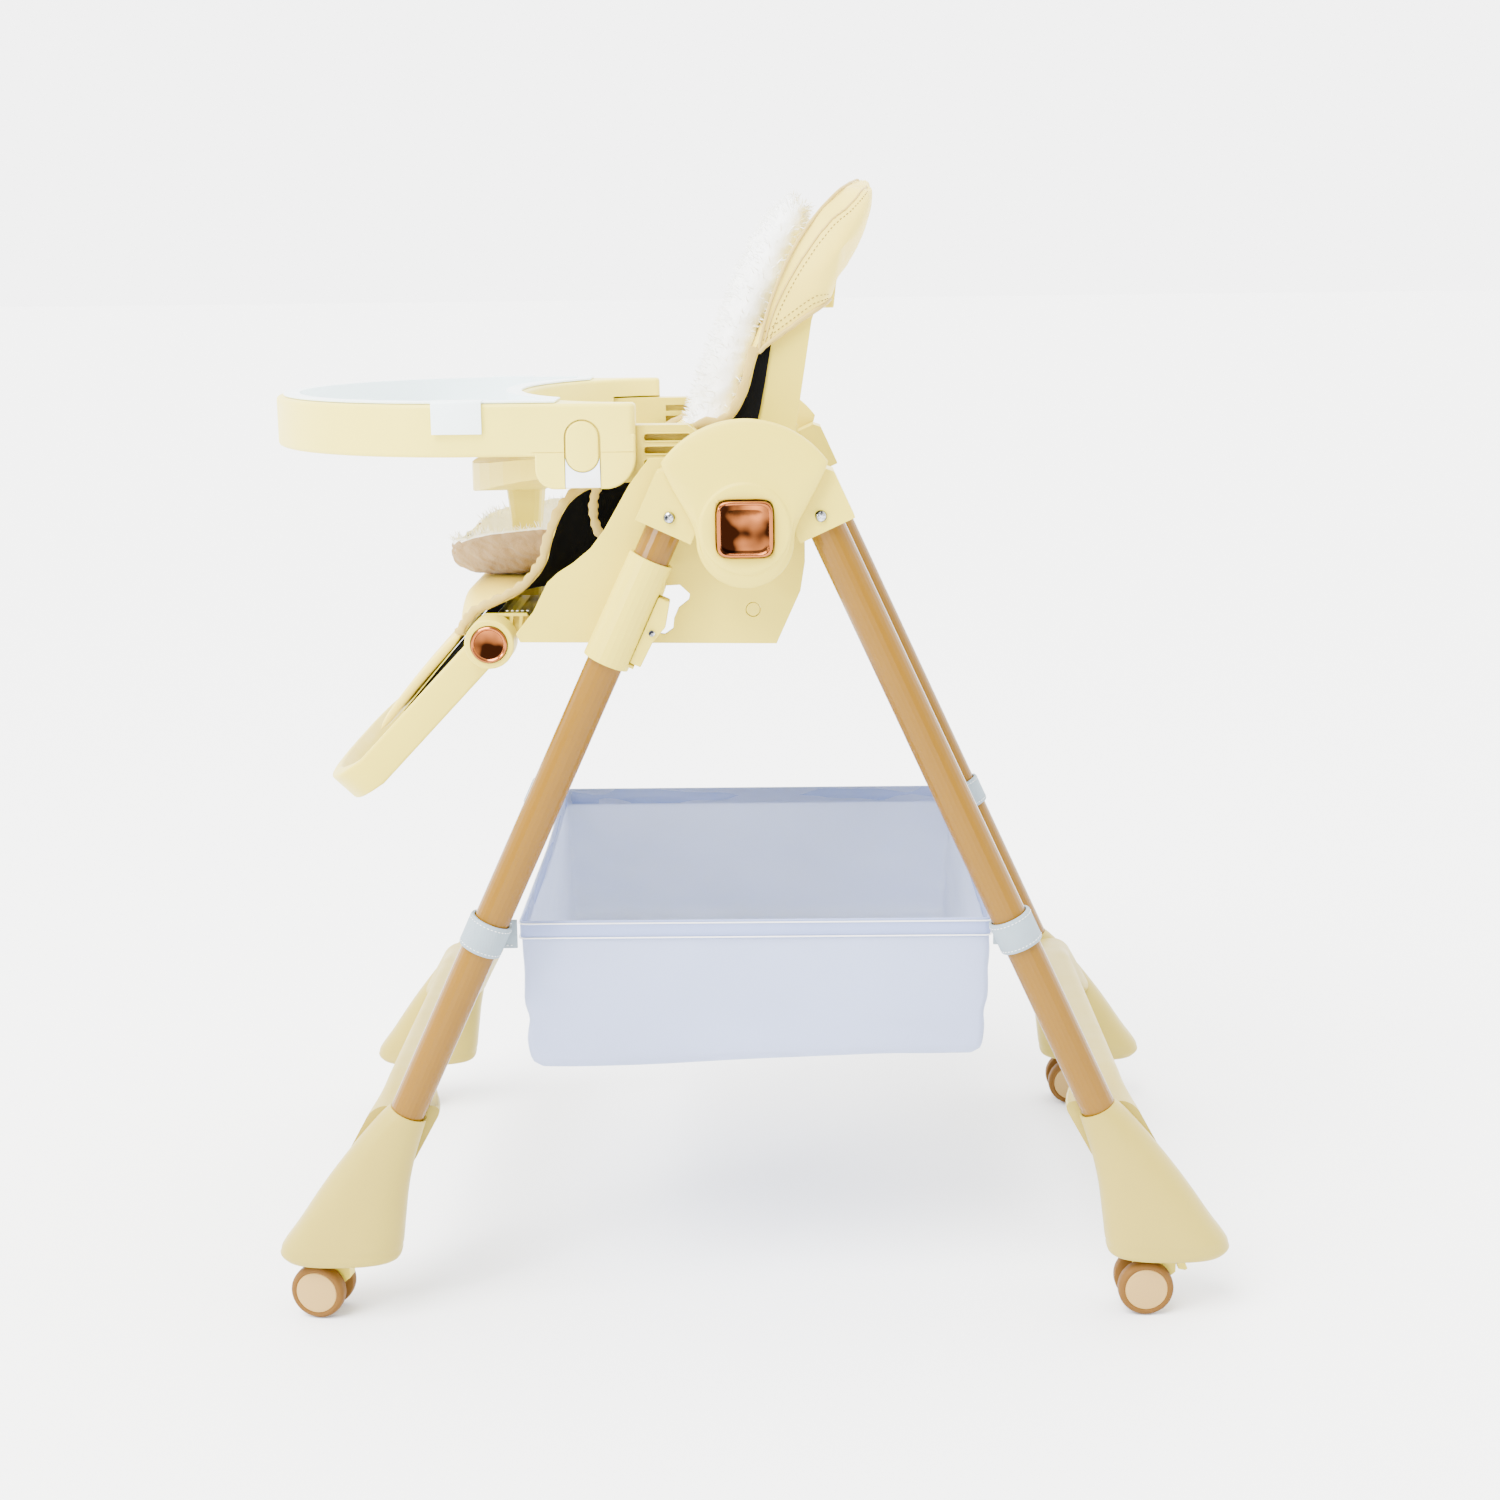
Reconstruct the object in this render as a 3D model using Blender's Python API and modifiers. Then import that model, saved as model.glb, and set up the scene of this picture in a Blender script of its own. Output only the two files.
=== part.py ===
"""Foldable baby high chair, metres, +Z up, the child faces -Y and the child's left is +X.

The origin is on the floor, under the middle of the chair.  Each side piece is modelled on the
left (+X) and copied to the right by mirror_piece.
"""
import bpy
import bmesh
from math import cos, sin, pi, radians, sqrt
from mathutils import Matrix, Vector

# ---------------------------------------------------------------- driving dimensions
GAP = 0.0003                    # clearance between pieces that touch

HUB_Y, HUB_Z = 0.007, 0.716     # fold axis of the leg frame
LEG_ANGLE = radians(24.75)      # each leg from the vertical
LEG_X = 0.262                   # leg tube axis from the centre plane
LEG_OFFSET = 0.061              # leg tube axis from the fold axis
TUBE_R, TUBE_WALL = 0.01575, 0.0015
TUBE_TOP, TUBE_END = 0.002, 0.655      # run of a tube, measured along its axis

FOOT_FLOOR = 0.053              # underside of a foot
CASTER_OUT = 0.373              # swivel axis from the leg plane
WHEEL_R, TRAIL = 0.025, 0.020
FRONT_LEFT_YAW = radians(-10)   # the front left caster stands a little turned

CROSSBAR_OUT = (0.2985, 0.3410) # crossbar, from the leg plane
CROSSBAR_Z = (0.166, 0.200)
CROSSBAR_HALF = 0.2395

HUB_INNER = (0.2410, 0.2615)    # front leg's disc, along X
HUB_OUTER = (0.2618, 0.2822)    # rear leg's disc, along X
COVER_X = (0.2828, 0.2995)
BUTTON_X = (0.2905, 0.3050)
DISC_R = 0.034
SCREW_AT = 0.019                # socket screw along the tube axis
PIN_R = 0.006

PANEL_X, PANEL_WALL = 0.235, 0.005     # seat shell's outer face and wall
FLOOR_TOP = 0.6155
GUARD_Y = -0.105                # centre of the guard bow's two ellipses
BACK_PIVOT = (0.0125, 0.639)
REST_PIVOT = (-0.2175, 0.610)
REST_ANGLE = radians(43.5)      # footrest below the horizontal is 90 - this
REST_X = 0.2135

TRAY_Y, TRAY_HALF, TRAY_DEEP = -0.2355, 0.225, 0.200
TRAY_Z = (0.768, 0.816)
CUT_Y, CUT_HALF, CUT_DEEP = -0.085, 0.204, 0.118
TRAY_REAR = -0.087

BASKET_Y, BASKET_Z, BASKET_HALF = (-0.200, 0.222), (0.228, 0.360), 0.235


# ---------------------------------------------------------------- scene and collections
for old in list(bpy.data.objects):
    bpy.data.objects.remove(old, do_unlink=True)


def new_collection(name):
    group = bpy.data.collections.new(name)
    bpy.context.scene.collection.children.link(group)
    return group


PARTS = new_collection("baby_high_chair")
CUTTERS = new_collection("cutters")


def look(name, colour, roughness, metallic=0.0):
    material = bpy.data.materials.new(name)
    material.use_nodes = True
    shader = material.node_tree.nodes["Principled BSDF"]
    shader.inputs["Base Color"].default_value = (*colour, 1.0)
    shader.inputs["Roughness"].default_value = roughness
    shader.inputs["Metallic"].default_value = metallic
    return material


CREAM = look("cream_plastic", (0.78, 0.70, 0.48), 0.45)
TAN = look("tan_paint", (0.60, 0.38, 0.16), 0.35)
COPPER = look("copper_plate", (0.35, 0.12, 0.04), 0.15, 1.0)
WHITE = look("white_plastic", (0.90, 0.93, 0.93), 0.35)
CHROME = look("chrome_screw", (0.80, 0.80, 0.80), 0.15, 1.0)
STEEL = look("steel_pin", (0.60, 0.60, 0.60), 0.30, 1.0)
NYLON = look("basket_nylon", (0.70, 0.75, 0.88), 0.80)
WEBBING = look("strap_webbing", (0.75, 0.78, 0.78), 0.80)
LEATHER = look("beige_leather", (0.75, 0.66, 0.46), 0.50)
KNIT = look("knit_liner", (0.88, 0.80, 0.74), 0.95)
TREAD = look("caster_tread", (0.48, 0.30, 0.24), 0.60)


# ---------------------------------------------------------------- modelling helpers
def finish(mesh, name, material, smooth=35, face_out=True):
    """Weld the mesh, face it outwards and put it on a new object of the parts collection."""
    shape = bmesh.new()
    shape.from_mesh(mesh)
    bmesh.ops.remove_doubles(shape, verts=shape.verts, dist=0.00002)
    if face_out:
        bmesh.ops.recalc_face_normals(shape, faces=shape.faces)
    shape.to_mesh(mesh)
    shape.free()
    mesh.shade_smooth()
    mesh.set_sharp_from_angle(angle=radians(smooth))
    mesh.materials.clear()
    mesh.materials.append(material)
    piece = bpy.data.objects.new(name, mesh)
    PARTS.objects.link(piece)
    return piece


def evaluated_mesh(source):
    """The mesh that an object shows, in world space."""
    bpy.context.view_layer.update()
    graph = bpy.context.evaluated_depsgraph_get()
    mesh = bpy.data.meshes.new_from_object(source.evaluated_get(graph))
    mesh.transform(source.matrix_world)
    return mesh


TURNS = {                       # from a drawing's x, y and z to the frame's
    "X": Matrix(((0, 0, 1), (1, 0, 0), (0, 1, 0))),
    "Y": Matrix(((1, 0, 0), (0, 0, -1), (0, 1, 0))),
    "Z": Matrix.Identity(3),
}


def extrusion(name, outline, low, high, material, axis="X"):
    """A flat outline, given as (y, z), (x, z) or (x, y) points, extruded along axis."""
    curve = bpy.data.curves.new(name, "CURVE")
    curve.dimensions = "2D"
    curve.fill_mode = "BOTH"
    curve.extrude = (high - low) / 2
    spline = curve.splines.new("POLY")
    spline.points.add(len(outline) - 1)
    for point, (a, b) in zip(spline.points, outline):
        point.co = (a, b, 0, 1)
    spline.use_cyclic_u = True
    guide = bpy.data.objects.new(name + "_outline", curve)
    CUTTERS.objects.link(guide)
    middle = (low + high) / 2
    shift = {"X": (middle, 0, 0), "Y": (0, middle, 0), "Z": (0, 0, middle)}[axis]
    guide.matrix_world = Matrix.Translation(shift) @ TURNS[axis].to_4x4()
    mesh = evaluated_mesh(guide)
    bpy.data.objects.remove(guide, do_unlink=True)
    return finish(mesh, name, material)


def box(name, low, high, material):
    shape = bmesh.new()
    bmesh.ops.create_cube(shape, size=1.0)
    size = [b - a for a, b in zip(low, high)]
    middle = [(a + b) / 2 for a, b in zip(low, high)]
    bmesh.ops.transform(shape, verts=shape.verts,
                        matrix=Matrix.Translation(middle) @ Matrix.Diagonal((*size, 1)))
    mesh = bpy.data.meshes.new(name)
    shape.to_mesh(mesh)
    shape.free()
    return finish(mesh, name, material)


def rod(name, start, end, radius, material, sides=20, end_radius=None):
    """A round bar, or a cone, from start to end."""
    start, end = Vector(start), Vector(end)
    span = end - start
    turn = span.to_track_quat("Z", "Y").to_matrix().to_4x4()
    shape = bmesh.new()
    bmesh.ops.create_cone(shape, cap_ends=True, segments=sides, radius1=radius,
                          radius2=radius if end_radius is None else end_radius,
                          depth=span.length)
    bmesh.ops.transform(shape, verts=shape.verts,
                        matrix=Matrix.Translation((start + end) / 2) @ turn)
    mesh = bpy.data.meshes.new(name)
    shape.to_mesh(mesh)
    shape.free()
    return finish(mesh, name, material)


def loft(name, rings, material):
    """A closed skin through rings of equally many points, with flat ends."""
    shape = bmesh.new()
    rows = [[shape.verts.new(point) for point in ring] for ring in rings]
    for low, high in zip(rows, rows[1:]):
        for i in range(len(low)):
            j = (i + 1) % len(low)
            shape.faces.new((low[i], low[j], high[j], high[i]))
    shape.faces.new(reversed(rows[0]))
    shape.faces.new(rows[-1])
    mesh = bpy.data.meshes.new(name)
    shape.to_mesh(mesh)
    shape.free()
    return finish(mesh, name, material)


def boolean(target, other, operation):
    """Cut, join or intersect target with other, and hide or remove other."""
    change = target.modifiers.new(operation.lower(), "BOOLEAN")
    change.operation = operation
    change.solver = "EXACT"
    change.object = other
    mesh = evaluated_mesh(target)
    target.modifiers.clear()
    material = target.data.materials[0]
    name = target.name
    bpy.data.objects.remove(target, do_unlink=True)
    bpy.data.objects.remove(other, do_unlink=True)
    return finish(mesh, name, material, face_out=False)


def cut(target, *cutters):
    for cutter in cutters:
        target = boolean(target, cutter, "DIFFERENCE")
    return target


def join(target, *others):
    for other in others:
        target = boolean(target, other, "UNION")
    return target


def mirror_piece(left, name):
    """The right hand copy of a left hand piece."""
    mesh = left.data.copy()
    mesh.transform(Matrix.Scale(-1, 4, Vector((1, 0, 0))))
    mesh.flip_normals()
    return finish(mesh, name, left.data.materials[0])


def arc(y, z, radius, start, end, steps, radius_b=None):
    """Points of a circle's or an ellipse's arc, angles in degrees."""
    points = []
    for i in range(steps + 1):
        angle = radians(start + (end - start) * i / steps)
        points.append((y + radius * cos(angle), z + (radius_b or radius) * sin(angle)))
    return points


def rounded_box(y_low, y_high, z_low, z_high, radius, steps=3):
    """Outline of a rectangle with round corners."""
    corners = [(y_high, z_low, -90), (y_high, z_high, 0), (y_low, z_high, 90), (y_low, z_low, 180)]
    points = []
    for y, z, turn in corners:
        inward_y = y - radius if y == y_high else y + radius
        inward_z = z - radius if z == z_high else z + radius
        points += arc(inward_y, inward_z, radius, turn, turn + 90, steps)
    return points


# ---------------------------------------------------------------- legs
class Leg:
    """Axis of a front (side = -1) or rear (side = +1) leg tube."""

    def __init__(self, side):
        self.side = side
        self.down = Vector((0, side * sin(LEG_ANGLE), -cos(LEG_ANGLE)))
        self.out = Vector((0, side * cos(LEG_ANGLE), sin(LEG_ANGLE)))
        self.top = Vector((LEG_X, HUB_Y, HUB_Z)) + self.out * LEG_OFFSET

    def at(self, along, out=0.0, x=0.0):
        return self.top + self.down * along + self.out * out + Vector((x, 0, 0))

    def flat(self, along, out=0.0):
        point = self.at(along, out)
        return (point.y, point.z)


FRONT, REAR = Leg(-1), Leg(1)


def leg_tube(leg, name):
    outer = rod(name, leg.at(TUBE_TOP), leg.at(TUBE_END), TUBE_R, TAN, 24)
    inner = rod("bore", leg.at(TUBE_TOP - 0.01), leg.at(TUBE_END + 0.01), TUBE_R - TUBE_WALL,
                TAN, 24)
    return cut(outer, inner)


FOOT_STATIONS = [
    # outer edge (out, z), inner edge (out, z), half width
    ((0.3235, 0.1995), (0.2920, 0.1845), 0.0178),
    ((0.3360, 0.1880), (0.2970, 0.1700), 0.0190),
    ((0.3600, 0.1600), (0.3040, 0.1480), 0.0215),
    ((0.3870, 0.1250), (0.3105, 0.1200), 0.0250),
    ((0.4110, 0.0900), (0.3150, 0.0880), 0.0280),
    ((0.4285, 0.0650), (0.3180, 0.0650), 0.0298),
    ((0.4240, 0.0550), (0.3210, 0.0555), 0.0285),
    ((0.4150, FOOT_FLOOR), (0.3300, FOOT_FLOOR), 0.0230),
]
FOOT_SIDES = 20


def foot_ring(leg, outer, inner, half, shrink=0.0):
    """One closed section of a foot, a super-ellipse between its outer and inner edges."""
    middle_out = (outer[0] + inner[0]) / 2
    middle_z = (outer[1] + inner[1]) / 2
    reach_out = (outer[0] - inner[0]) / 2
    reach_z = (outer[1] - inner[1]) / 2
    length = sqrt(reach_out ** 2 + reach_z ** 2)
    keep = (length - shrink) / length
    power = 2 / (2.0 + 0.6 * min(1.0, (half - 0.0178) / 0.010))
    ring = []
    for i in range(FOOT_SIDES):
        angle = 2 * pi * i / FOOT_SIDES
        c, s = cos(angle), sin(angle)
        a = (abs(c) ** power) * (1 if c >= 0 else -1) * keep
        b = (abs(s) ** power) * (1 if s >= 0 else -1) * (half - shrink)
        out = middle_out + reach_out * a
        ring.append(Vector((LEG_X + b, HUB_Y + leg.side * out, middle_z + reach_z * a)))
    return ring


def foot(leg, name):
    wall = 0.003
    body = loft(name, [foot_ring(leg, *station) for station in FOOT_STATIONS], CREAM)
    hollow_stations = [
        ((0.3600, 0.1600), (0.3040, 0.1480), 0.0215),
        ((0.3870, 0.1250), (0.3105, 0.1200), 0.0250),
        ((0.4110, 0.0900), (0.3150, 0.0880), 0.0280),
        ((0.4250, 0.0640), (0.3190, 0.0640), 0.0295),
    ]
    hollow = loft("hollow", [foot_ring(leg, *s, shrink=wall) for s in hollow_stations], CREAM)
    bore = rod("bore", leg.at(0.600), leg.at(TUBE_END + 0.003), TUBE_R + GAP, CREAM, 24)
    stem_hole = rod("stem_hole", (LEG_X, caster_y(leg), FOOT_FLOOR - 0.01),
                    (LEG_X, caster_y(leg), FOOT_FLOOR + 0.03), 0.0060, CREAM, 16)
    return cut(body, hollow, bore, stem_hole)


def caster_y(leg):
    return HUB_Y + leg.side * CASTER_OUT


def crossbar(leg, name):
    """A channel between the two feet, open underneath."""
    near, far = (HUB_Y + leg.side * out for out in CROSSBAR_OUT)
    low, high = min(near, far), max(near, far)
    bottom, top = CROSSBAR_Z
    wall = 0.0035
    outline = rounded_box(low, high, bottom, top, 0.012)
    outline = [(y, z) for y, z in outline if z > bottom + 0.015]
    outline = [(low + 0.002, bottom)] + list(reversed(outline)) + [(high - 0.002, bottom)]
    bar = extrusion(name, outline, -CROSSBAR_HALF, CROSSBAR_HALF, CREAM)
    groove = box("groove", (-CROSSBAR_HALF + wall, low + wall, bottom - 0.01),
                 (CROSSBAR_HALF - wall, high - wall, top - wall * 1.5), CREAM)
    return cut(bar, groove)


def hub_socket(leg, name, layer):
    """Disc on the fold axis, arm, and the socket that grips the top of the leg tube."""
    reach = 0.0255
    top, bottom = -0.016, 0.0325
    sleeve = extrusion(name, [leg.flat(top, -reach), leg.flat(top, reach - 0.006),
                              leg.flat(top + 0.006, reach), leg.flat(bottom, reach),
                              leg.flat(bottom, -reach)],
                       LEG_X - 0.0202, LEG_X + 0.0202, CREAM)
    disc = rod("disc", (layer[0], HUB_Y, HUB_Z), (layer[1], HUB_Y, HUB_Z), DISC_R, CREAM, 32)
    arm = extrusion("arm", [leg.flat(-0.012, -reach + 0.004), leg.flat(0.028, -reach + 0.004),
                            leg.flat(0.026, -LEG_OFFSET), leg.flat(-0.026, -LEG_OFFSET)],
                    layer[0] + 0.001, layer[1] - 0.001, CREAM)
    body = join(sleeve, arm, disc)
    bore = rod("bore", leg.at(TUBE_TOP - GAP), leg.at(bottom + 0.01), TUBE_R + GAP, CREAM, 24)
    pin_hole = rod("pin_hole", (0.23, HUB_Y, HUB_Z), (0.30, HUB_Y, HUB_Z), PIN_R + GAP, CREAM, 16)
    screw_hole = rod("screw_hole", leg.at(SCREW_AT, 0, 0.0202 - 0.0032),
                     leg.at(SCREW_AT, 0, 0.03), 0.0022, CREAM, 12)
    return cut(body, bore, pin_hole, screw_hole)


def hub_screw(leg, name):
    """Dome head screw, turned about X."""
    profile = [(0.0038, 0.0), (0.0034, 0.0022), (0.0022, 0.0040), (GAP, 0.0050),
               (GAP, 0.0019), (-0.0024, 0.0019), (-0.0024, 0.0)]
    return turned(name, profile, leg.at(SCREW_AT, 0, 0.0202), CHROME, 16)


def turned(name, profile, centre, material, steps, axis_x=True):
    """Turn a profile of (along, radius) points, from one end of its axis to the other."""
    mesh = bpy.data.meshes.new(name)
    points = [Vector((radius, 0, along)) for along, radius in profile]
    mesh.from_pydata(points, [(i, i + 1) for i in range(len(points) - 1)], [])
    spinner = bpy.data.objects.new(name + "_profile", mesh)
    CUTTERS.objects.link(spinner)
    screw = spinner.modifiers.new("turn", "SCREW")
    screw.steps = steps
    screw.render_steps = steps
    screw.use_merge_vertices = True
    screw.merge_threshold = 0.00005
    place = Matrix.Translation(centre)
    if axis_x:
        place = place @ Matrix.Rotation(radians(90), 4, "Y")
    spinner.matrix_world = place
    turned_mesh = evaluated_mesh(spinner)
    bpy.data.objects.remove(spinner, do_unlink=True)
    return finish(turned_mesh, name, material)


def hub_cover():
    """Domed cover over both discs, with a pocket for the square release button."""
    top = arc(HUB_Y, HUB_Z + 0.0046, 0.0855, 33, 147, 12)
    left_side = [(HUB_Y - 0.0580, HUB_Z + 0.0300), (HUB_Y - 0.0480, HUB_Z + 0.0110),
                 (HUB_Y - 0.0405, HUB_Z - 0.0050)]
    lobe = arc(HUB_Y, HUB_Z - 0.010, 0.0410, 190, 350, 12)
    right_side = [(2 * HUB_Y - y, z) for y, z in reversed(left_side)]
    outline = top + left_side + lobe + right_side
    low, high = COVER_X
    cover = extrusion("hub_cover_left", outline, low, high - 0.004, CREAM)
    grow = cover.modifiers.new("edge", "BEVEL")
    grow.width = 0.004
    grow.segments = 2
    grow.limit_method = "ANGLE"
    grow.angle_limit = radians(60)
    mesh = evaluated_mesh(cover)
    bpy.data.objects.remove(cover, do_unlink=True)
    cover = finish(mesh, "hub_cover_left", CREAM)
    boss = rod("boss", (low + 0.005, HUB_Y, HUB_Z), (high, HUB_Y, HUB_Z), 0.0400, CREAM, 32, 0.0360)
    cover = join(cover, boss)
    size = 0.0240
    pocket = extrusion("pocket", rounded_box(HUB_Y - size, HUB_Y + size, HUB_Z - size,
                                             HUB_Z + size, 0.008), low + 0.003, high + 0.01, CREAM)
    return cut(cover, pocket)


def fold_button():
    size = 0.0234
    return extrusion("fold_button_left", rounded_box(HUB_Y - size, HUB_Y + size, HUB_Z - size,
                                                     HUB_Z + size, 0.0075), *BUTTON_X, COPPER)


def pivot_pin():
    low, high = HUB_INNER[0] - 0.0012, COVER_X[0] - 0.0003
    return rod("pivot_pin_left", (low, HUB_Y, HUB_Z), (high, HUB_Y, HUB_Z), PIN_R, STEEL, 16)


# ---------------------------------------------------------------- basket and its straps
def basket():
    (front, rear), (bottom, top) = BASKET_Y, BASKET_Z
    wall = 0.0025
    draft = 0.004
    rings = []
    for inset, z in ((draft, bottom), (0.0, top)):
        plan = rounded_box(front + inset, rear - inset, -BASKET_HALF + inset, BASKET_HALF - inset,
                           0.012, 2)
        rings.append([Vector((x, y, z)) for y, x in plan])
    body = loft("basket", rings, NYLON)
    hollow_rings = []
    for inset, z in ((draft + wall, bottom + wall), (wall, top + 0.001)):
        plan = rounded_box(front + inset, rear - inset, -BASKET_HALF + inset, BASKET_HALF - inset,
                           0.010, 2)
        hollow_rings.append([Vector((x, y, z)) for y, x in plan])
    return cut(body, loft("hollow", hollow_rings, NYLON))


def strap(leg, name):
    """A hook-and-loop band round the leg tube, with a tail that runs to the basket's rim."""
    middle = (HUB_Z + sin(LEG_ANGLE) * LEG_OFFSET - 0.357) / cos(LEG_ANGLE)
    half = 0.0145
    outer = rod(name, leg.at(middle - half), leg.at(middle + half), TUBE_R + 0.0038, WEBBING, 20)
    inner = rod("bore", leg.at(middle - 0.03), leg.at(middle + 0.03), TUBE_R + 0.0012, WEBBING, 20)
    inner_y = leg.at(middle).y - leg.side * 0.002
    rim_y = BASKET_Y[0] - 0.0004 if leg.side < 0 else BASKET_Y[1] + 0.0004
    low, high = sorted((inner_y, rim_y))
    tail = box("tail", (LEG_X - 0.0215, low, 0.3395), (LEG_X - 0.0185, high, 0.3630), WEBBING)
    return cut(join(outer, tail), inner)


# ---------------------------------------------------------------- casters
def caster_fork(name):
    """Body between the two wheels, with the stem that turns in the foot; swivel axis at x = y = 0."""
    half = 0.0064
    z = WHEEL_R
    outline = (arc(-TRAIL, z, 0.0100, 150, 330, 6)
               + [(0.0080, z + 0.0110), (0.0080, 0.0500), (-0.0300, 0.0500)])
    body = extrusion(name, outline, -half, half, CREAM)
    stem = rod("stem", (0, 0, 0.0480), (0, 0, FOOT_FLOOR + 0.0090), 0.0055, CREAM, 16)
    hole = rod("hole", (-0.02, -TRAIL, z), (0.02, -TRAIL, z), 0.0031, CREAM, 16)
    return cut(join(body, stem), hole)


def caster_wheels(name):
    """Two wheels on one axle, turned about X."""
    profile = [(0.0205, 0.0), (0.0205, 0.0180), (0.0190, 0.0225), (0.0170, WHEEL_R),
               (0.0090, WHEEL_R), (0.0076, 0.0235), (0.0076, 0.0028)]
    whole = profile + [(-along, radius) for along, radius in reversed(profile)]
    return turned(name, whole, Vector((0, -TRAIL, WHEEL_R)), TREAD, 20)


def brake_lever(name):
    outline = [(0.0100, 0.0400), (0.0165, 0.0385), (0.0185, 0.0400), (0.0160, 0.0455),
               (0.0090, 0.0480), (0.0086, 0.0430)]
    return extrusion(name, outline, -0.0090, 0.0090, CREAM)


def place_caster(leg, side, yaw, suffix):
    pieces = [caster_fork("caster_fork_" + suffix), caster_wheels("caster_wheels_" + suffix)]
    if leg is REAR:
        pieces.append(brake_lever("brake_lever_" + suffix))
    move = Matrix.Translation((side * LEG_X, caster_y(leg), 0)) @ Matrix.Rotation(yaw, 4, "Z")
    for piece in pieces:
        piece.data.transform(move)


# ---------------------------------------------------------------- seat
def seat_shell():
    """One moulding: two side panels, the seat floor and the front bearing bar."""
    panel = [(-0.1935, 0.6195), (-0.1900, 0.6120), (0.0325, 0.6090), (0.0535, 0.6550),
             (0.0575, 0.6800), (0.0575, 0.7640), (0.0500, 0.7700), (-0.0750, 0.7700),
             (-0.0828, 0.7600), (-0.0925, 0.7473), (-0.1023, 0.7304), (-0.1148, 0.7090),
             (-0.1272, 0.6928), (-0.1431, 0.6800), (-0.1560, 0.6720), (-0.1651, 0.6637),
             (-0.1780, 0.6386)]
    body = extrusion("seat_shell", panel, -PANEL_X, PANEL_X, CREAM)
    inner = PANEL_X - PANEL_WALL
    hollow = box("hollow", (-inner, -0.30, FLOOR_TOP), (inner, 0.10, 0.80), CREAM)
    body = cut(body, hollow)
    y, z = REST_PIVOT
    floor_front = box("floor_front", (-0.185, y, 0.6095), (0.185, -0.15, FLOOR_TOP), CREAM)
    bearing = rod("bearing", (-0.1985, y, z), (0.1985, y, z), 0.0110, CREAM, 16)
    body = join(body, floor_front, bearing)
    grip = [(-0.0505, 0.6610), (-0.0420, 0.6530), (-0.0430, 0.6480), (-0.0520, 0.6410),
            (-0.0560, 0.6320), (-0.0570, 0.6230), (-0.0640, 0.6180), (-0.0820, 0.6200),
            (-0.0720, 0.6600)]
    grip_hole = extrusion("grip", grip, -0.25, 0.25, CREAM)
    pivot_hole = rod("pivot", (-0.25, *BACK_PIVOT), (0.25, *BACK_PIVOT), 0.0065, CREAM, 16)
    vent = box("vent", (-0.215, -0.0880, 0.60), (0.215, -0.0360, 0.63), CREAM)
    body = cut(body, grip_hole, pivot_hole, vent)
    return body


def height_sleeve():
    """Runner that slides on the front leg tube and carries the seat."""
    start, end = 0.0595, 0.1565
    half = 0.0192
    body = rod("height_sleeve_left", FRONT.at(start), FRONT.at(end), half, CREAM, 24, half + 0.0012)
    spine = extrusion("spine", [FRONT.flat(start + 0.006, 0.012), FRONT.flat(end - 0.004, 0.014),
                                FRONT.flat(end - 0.004, -0.0240), FRONT.flat(start + 0.020, -0.0215),
                                FRONT.flat(start + 0.006, -0.0160)],
                      PANEL_X + GAP * 2, LEG_X + 0.0050, CREAM)
    body = join(body, spine)
    bore = rod("bore", FRONT.at(start - 0.02), FRONT.at(end + 0.02), TUBE_R + 0.0005, CREAM, 24)
    pocket = extrusion("pocket", [FRONT.flat(0.0840, -0.0185), FRONT.flat(0.1500, -0.0185),
                                  FRONT.flat(0.1500, -0.0300), FRONT.flat(0.0840, -0.0300)],
                       LEG_X - 0.0130, LEG_X + 0.0090, CREAM)
    return cut(body, bore, pocket)


def height_lever():
    """Release lever behind the sleeve, pulled away from the tube to change the height."""
    outline = [FRONT.flat(0.0860, -0.0190), FRONT.flat(0.1480, -0.0190),
               FRONT.flat(0.1480, -0.0290), FRONT.flat(0.1230, -0.0300),
               FRONT.flat(0.1080, -0.0345), FRONT.flat(0.0860, -0.0290)]
    return extrusion("height_lever_left", outline, LEG_X - 0.0115, LEG_X + 0.0080, CREAM)


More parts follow.
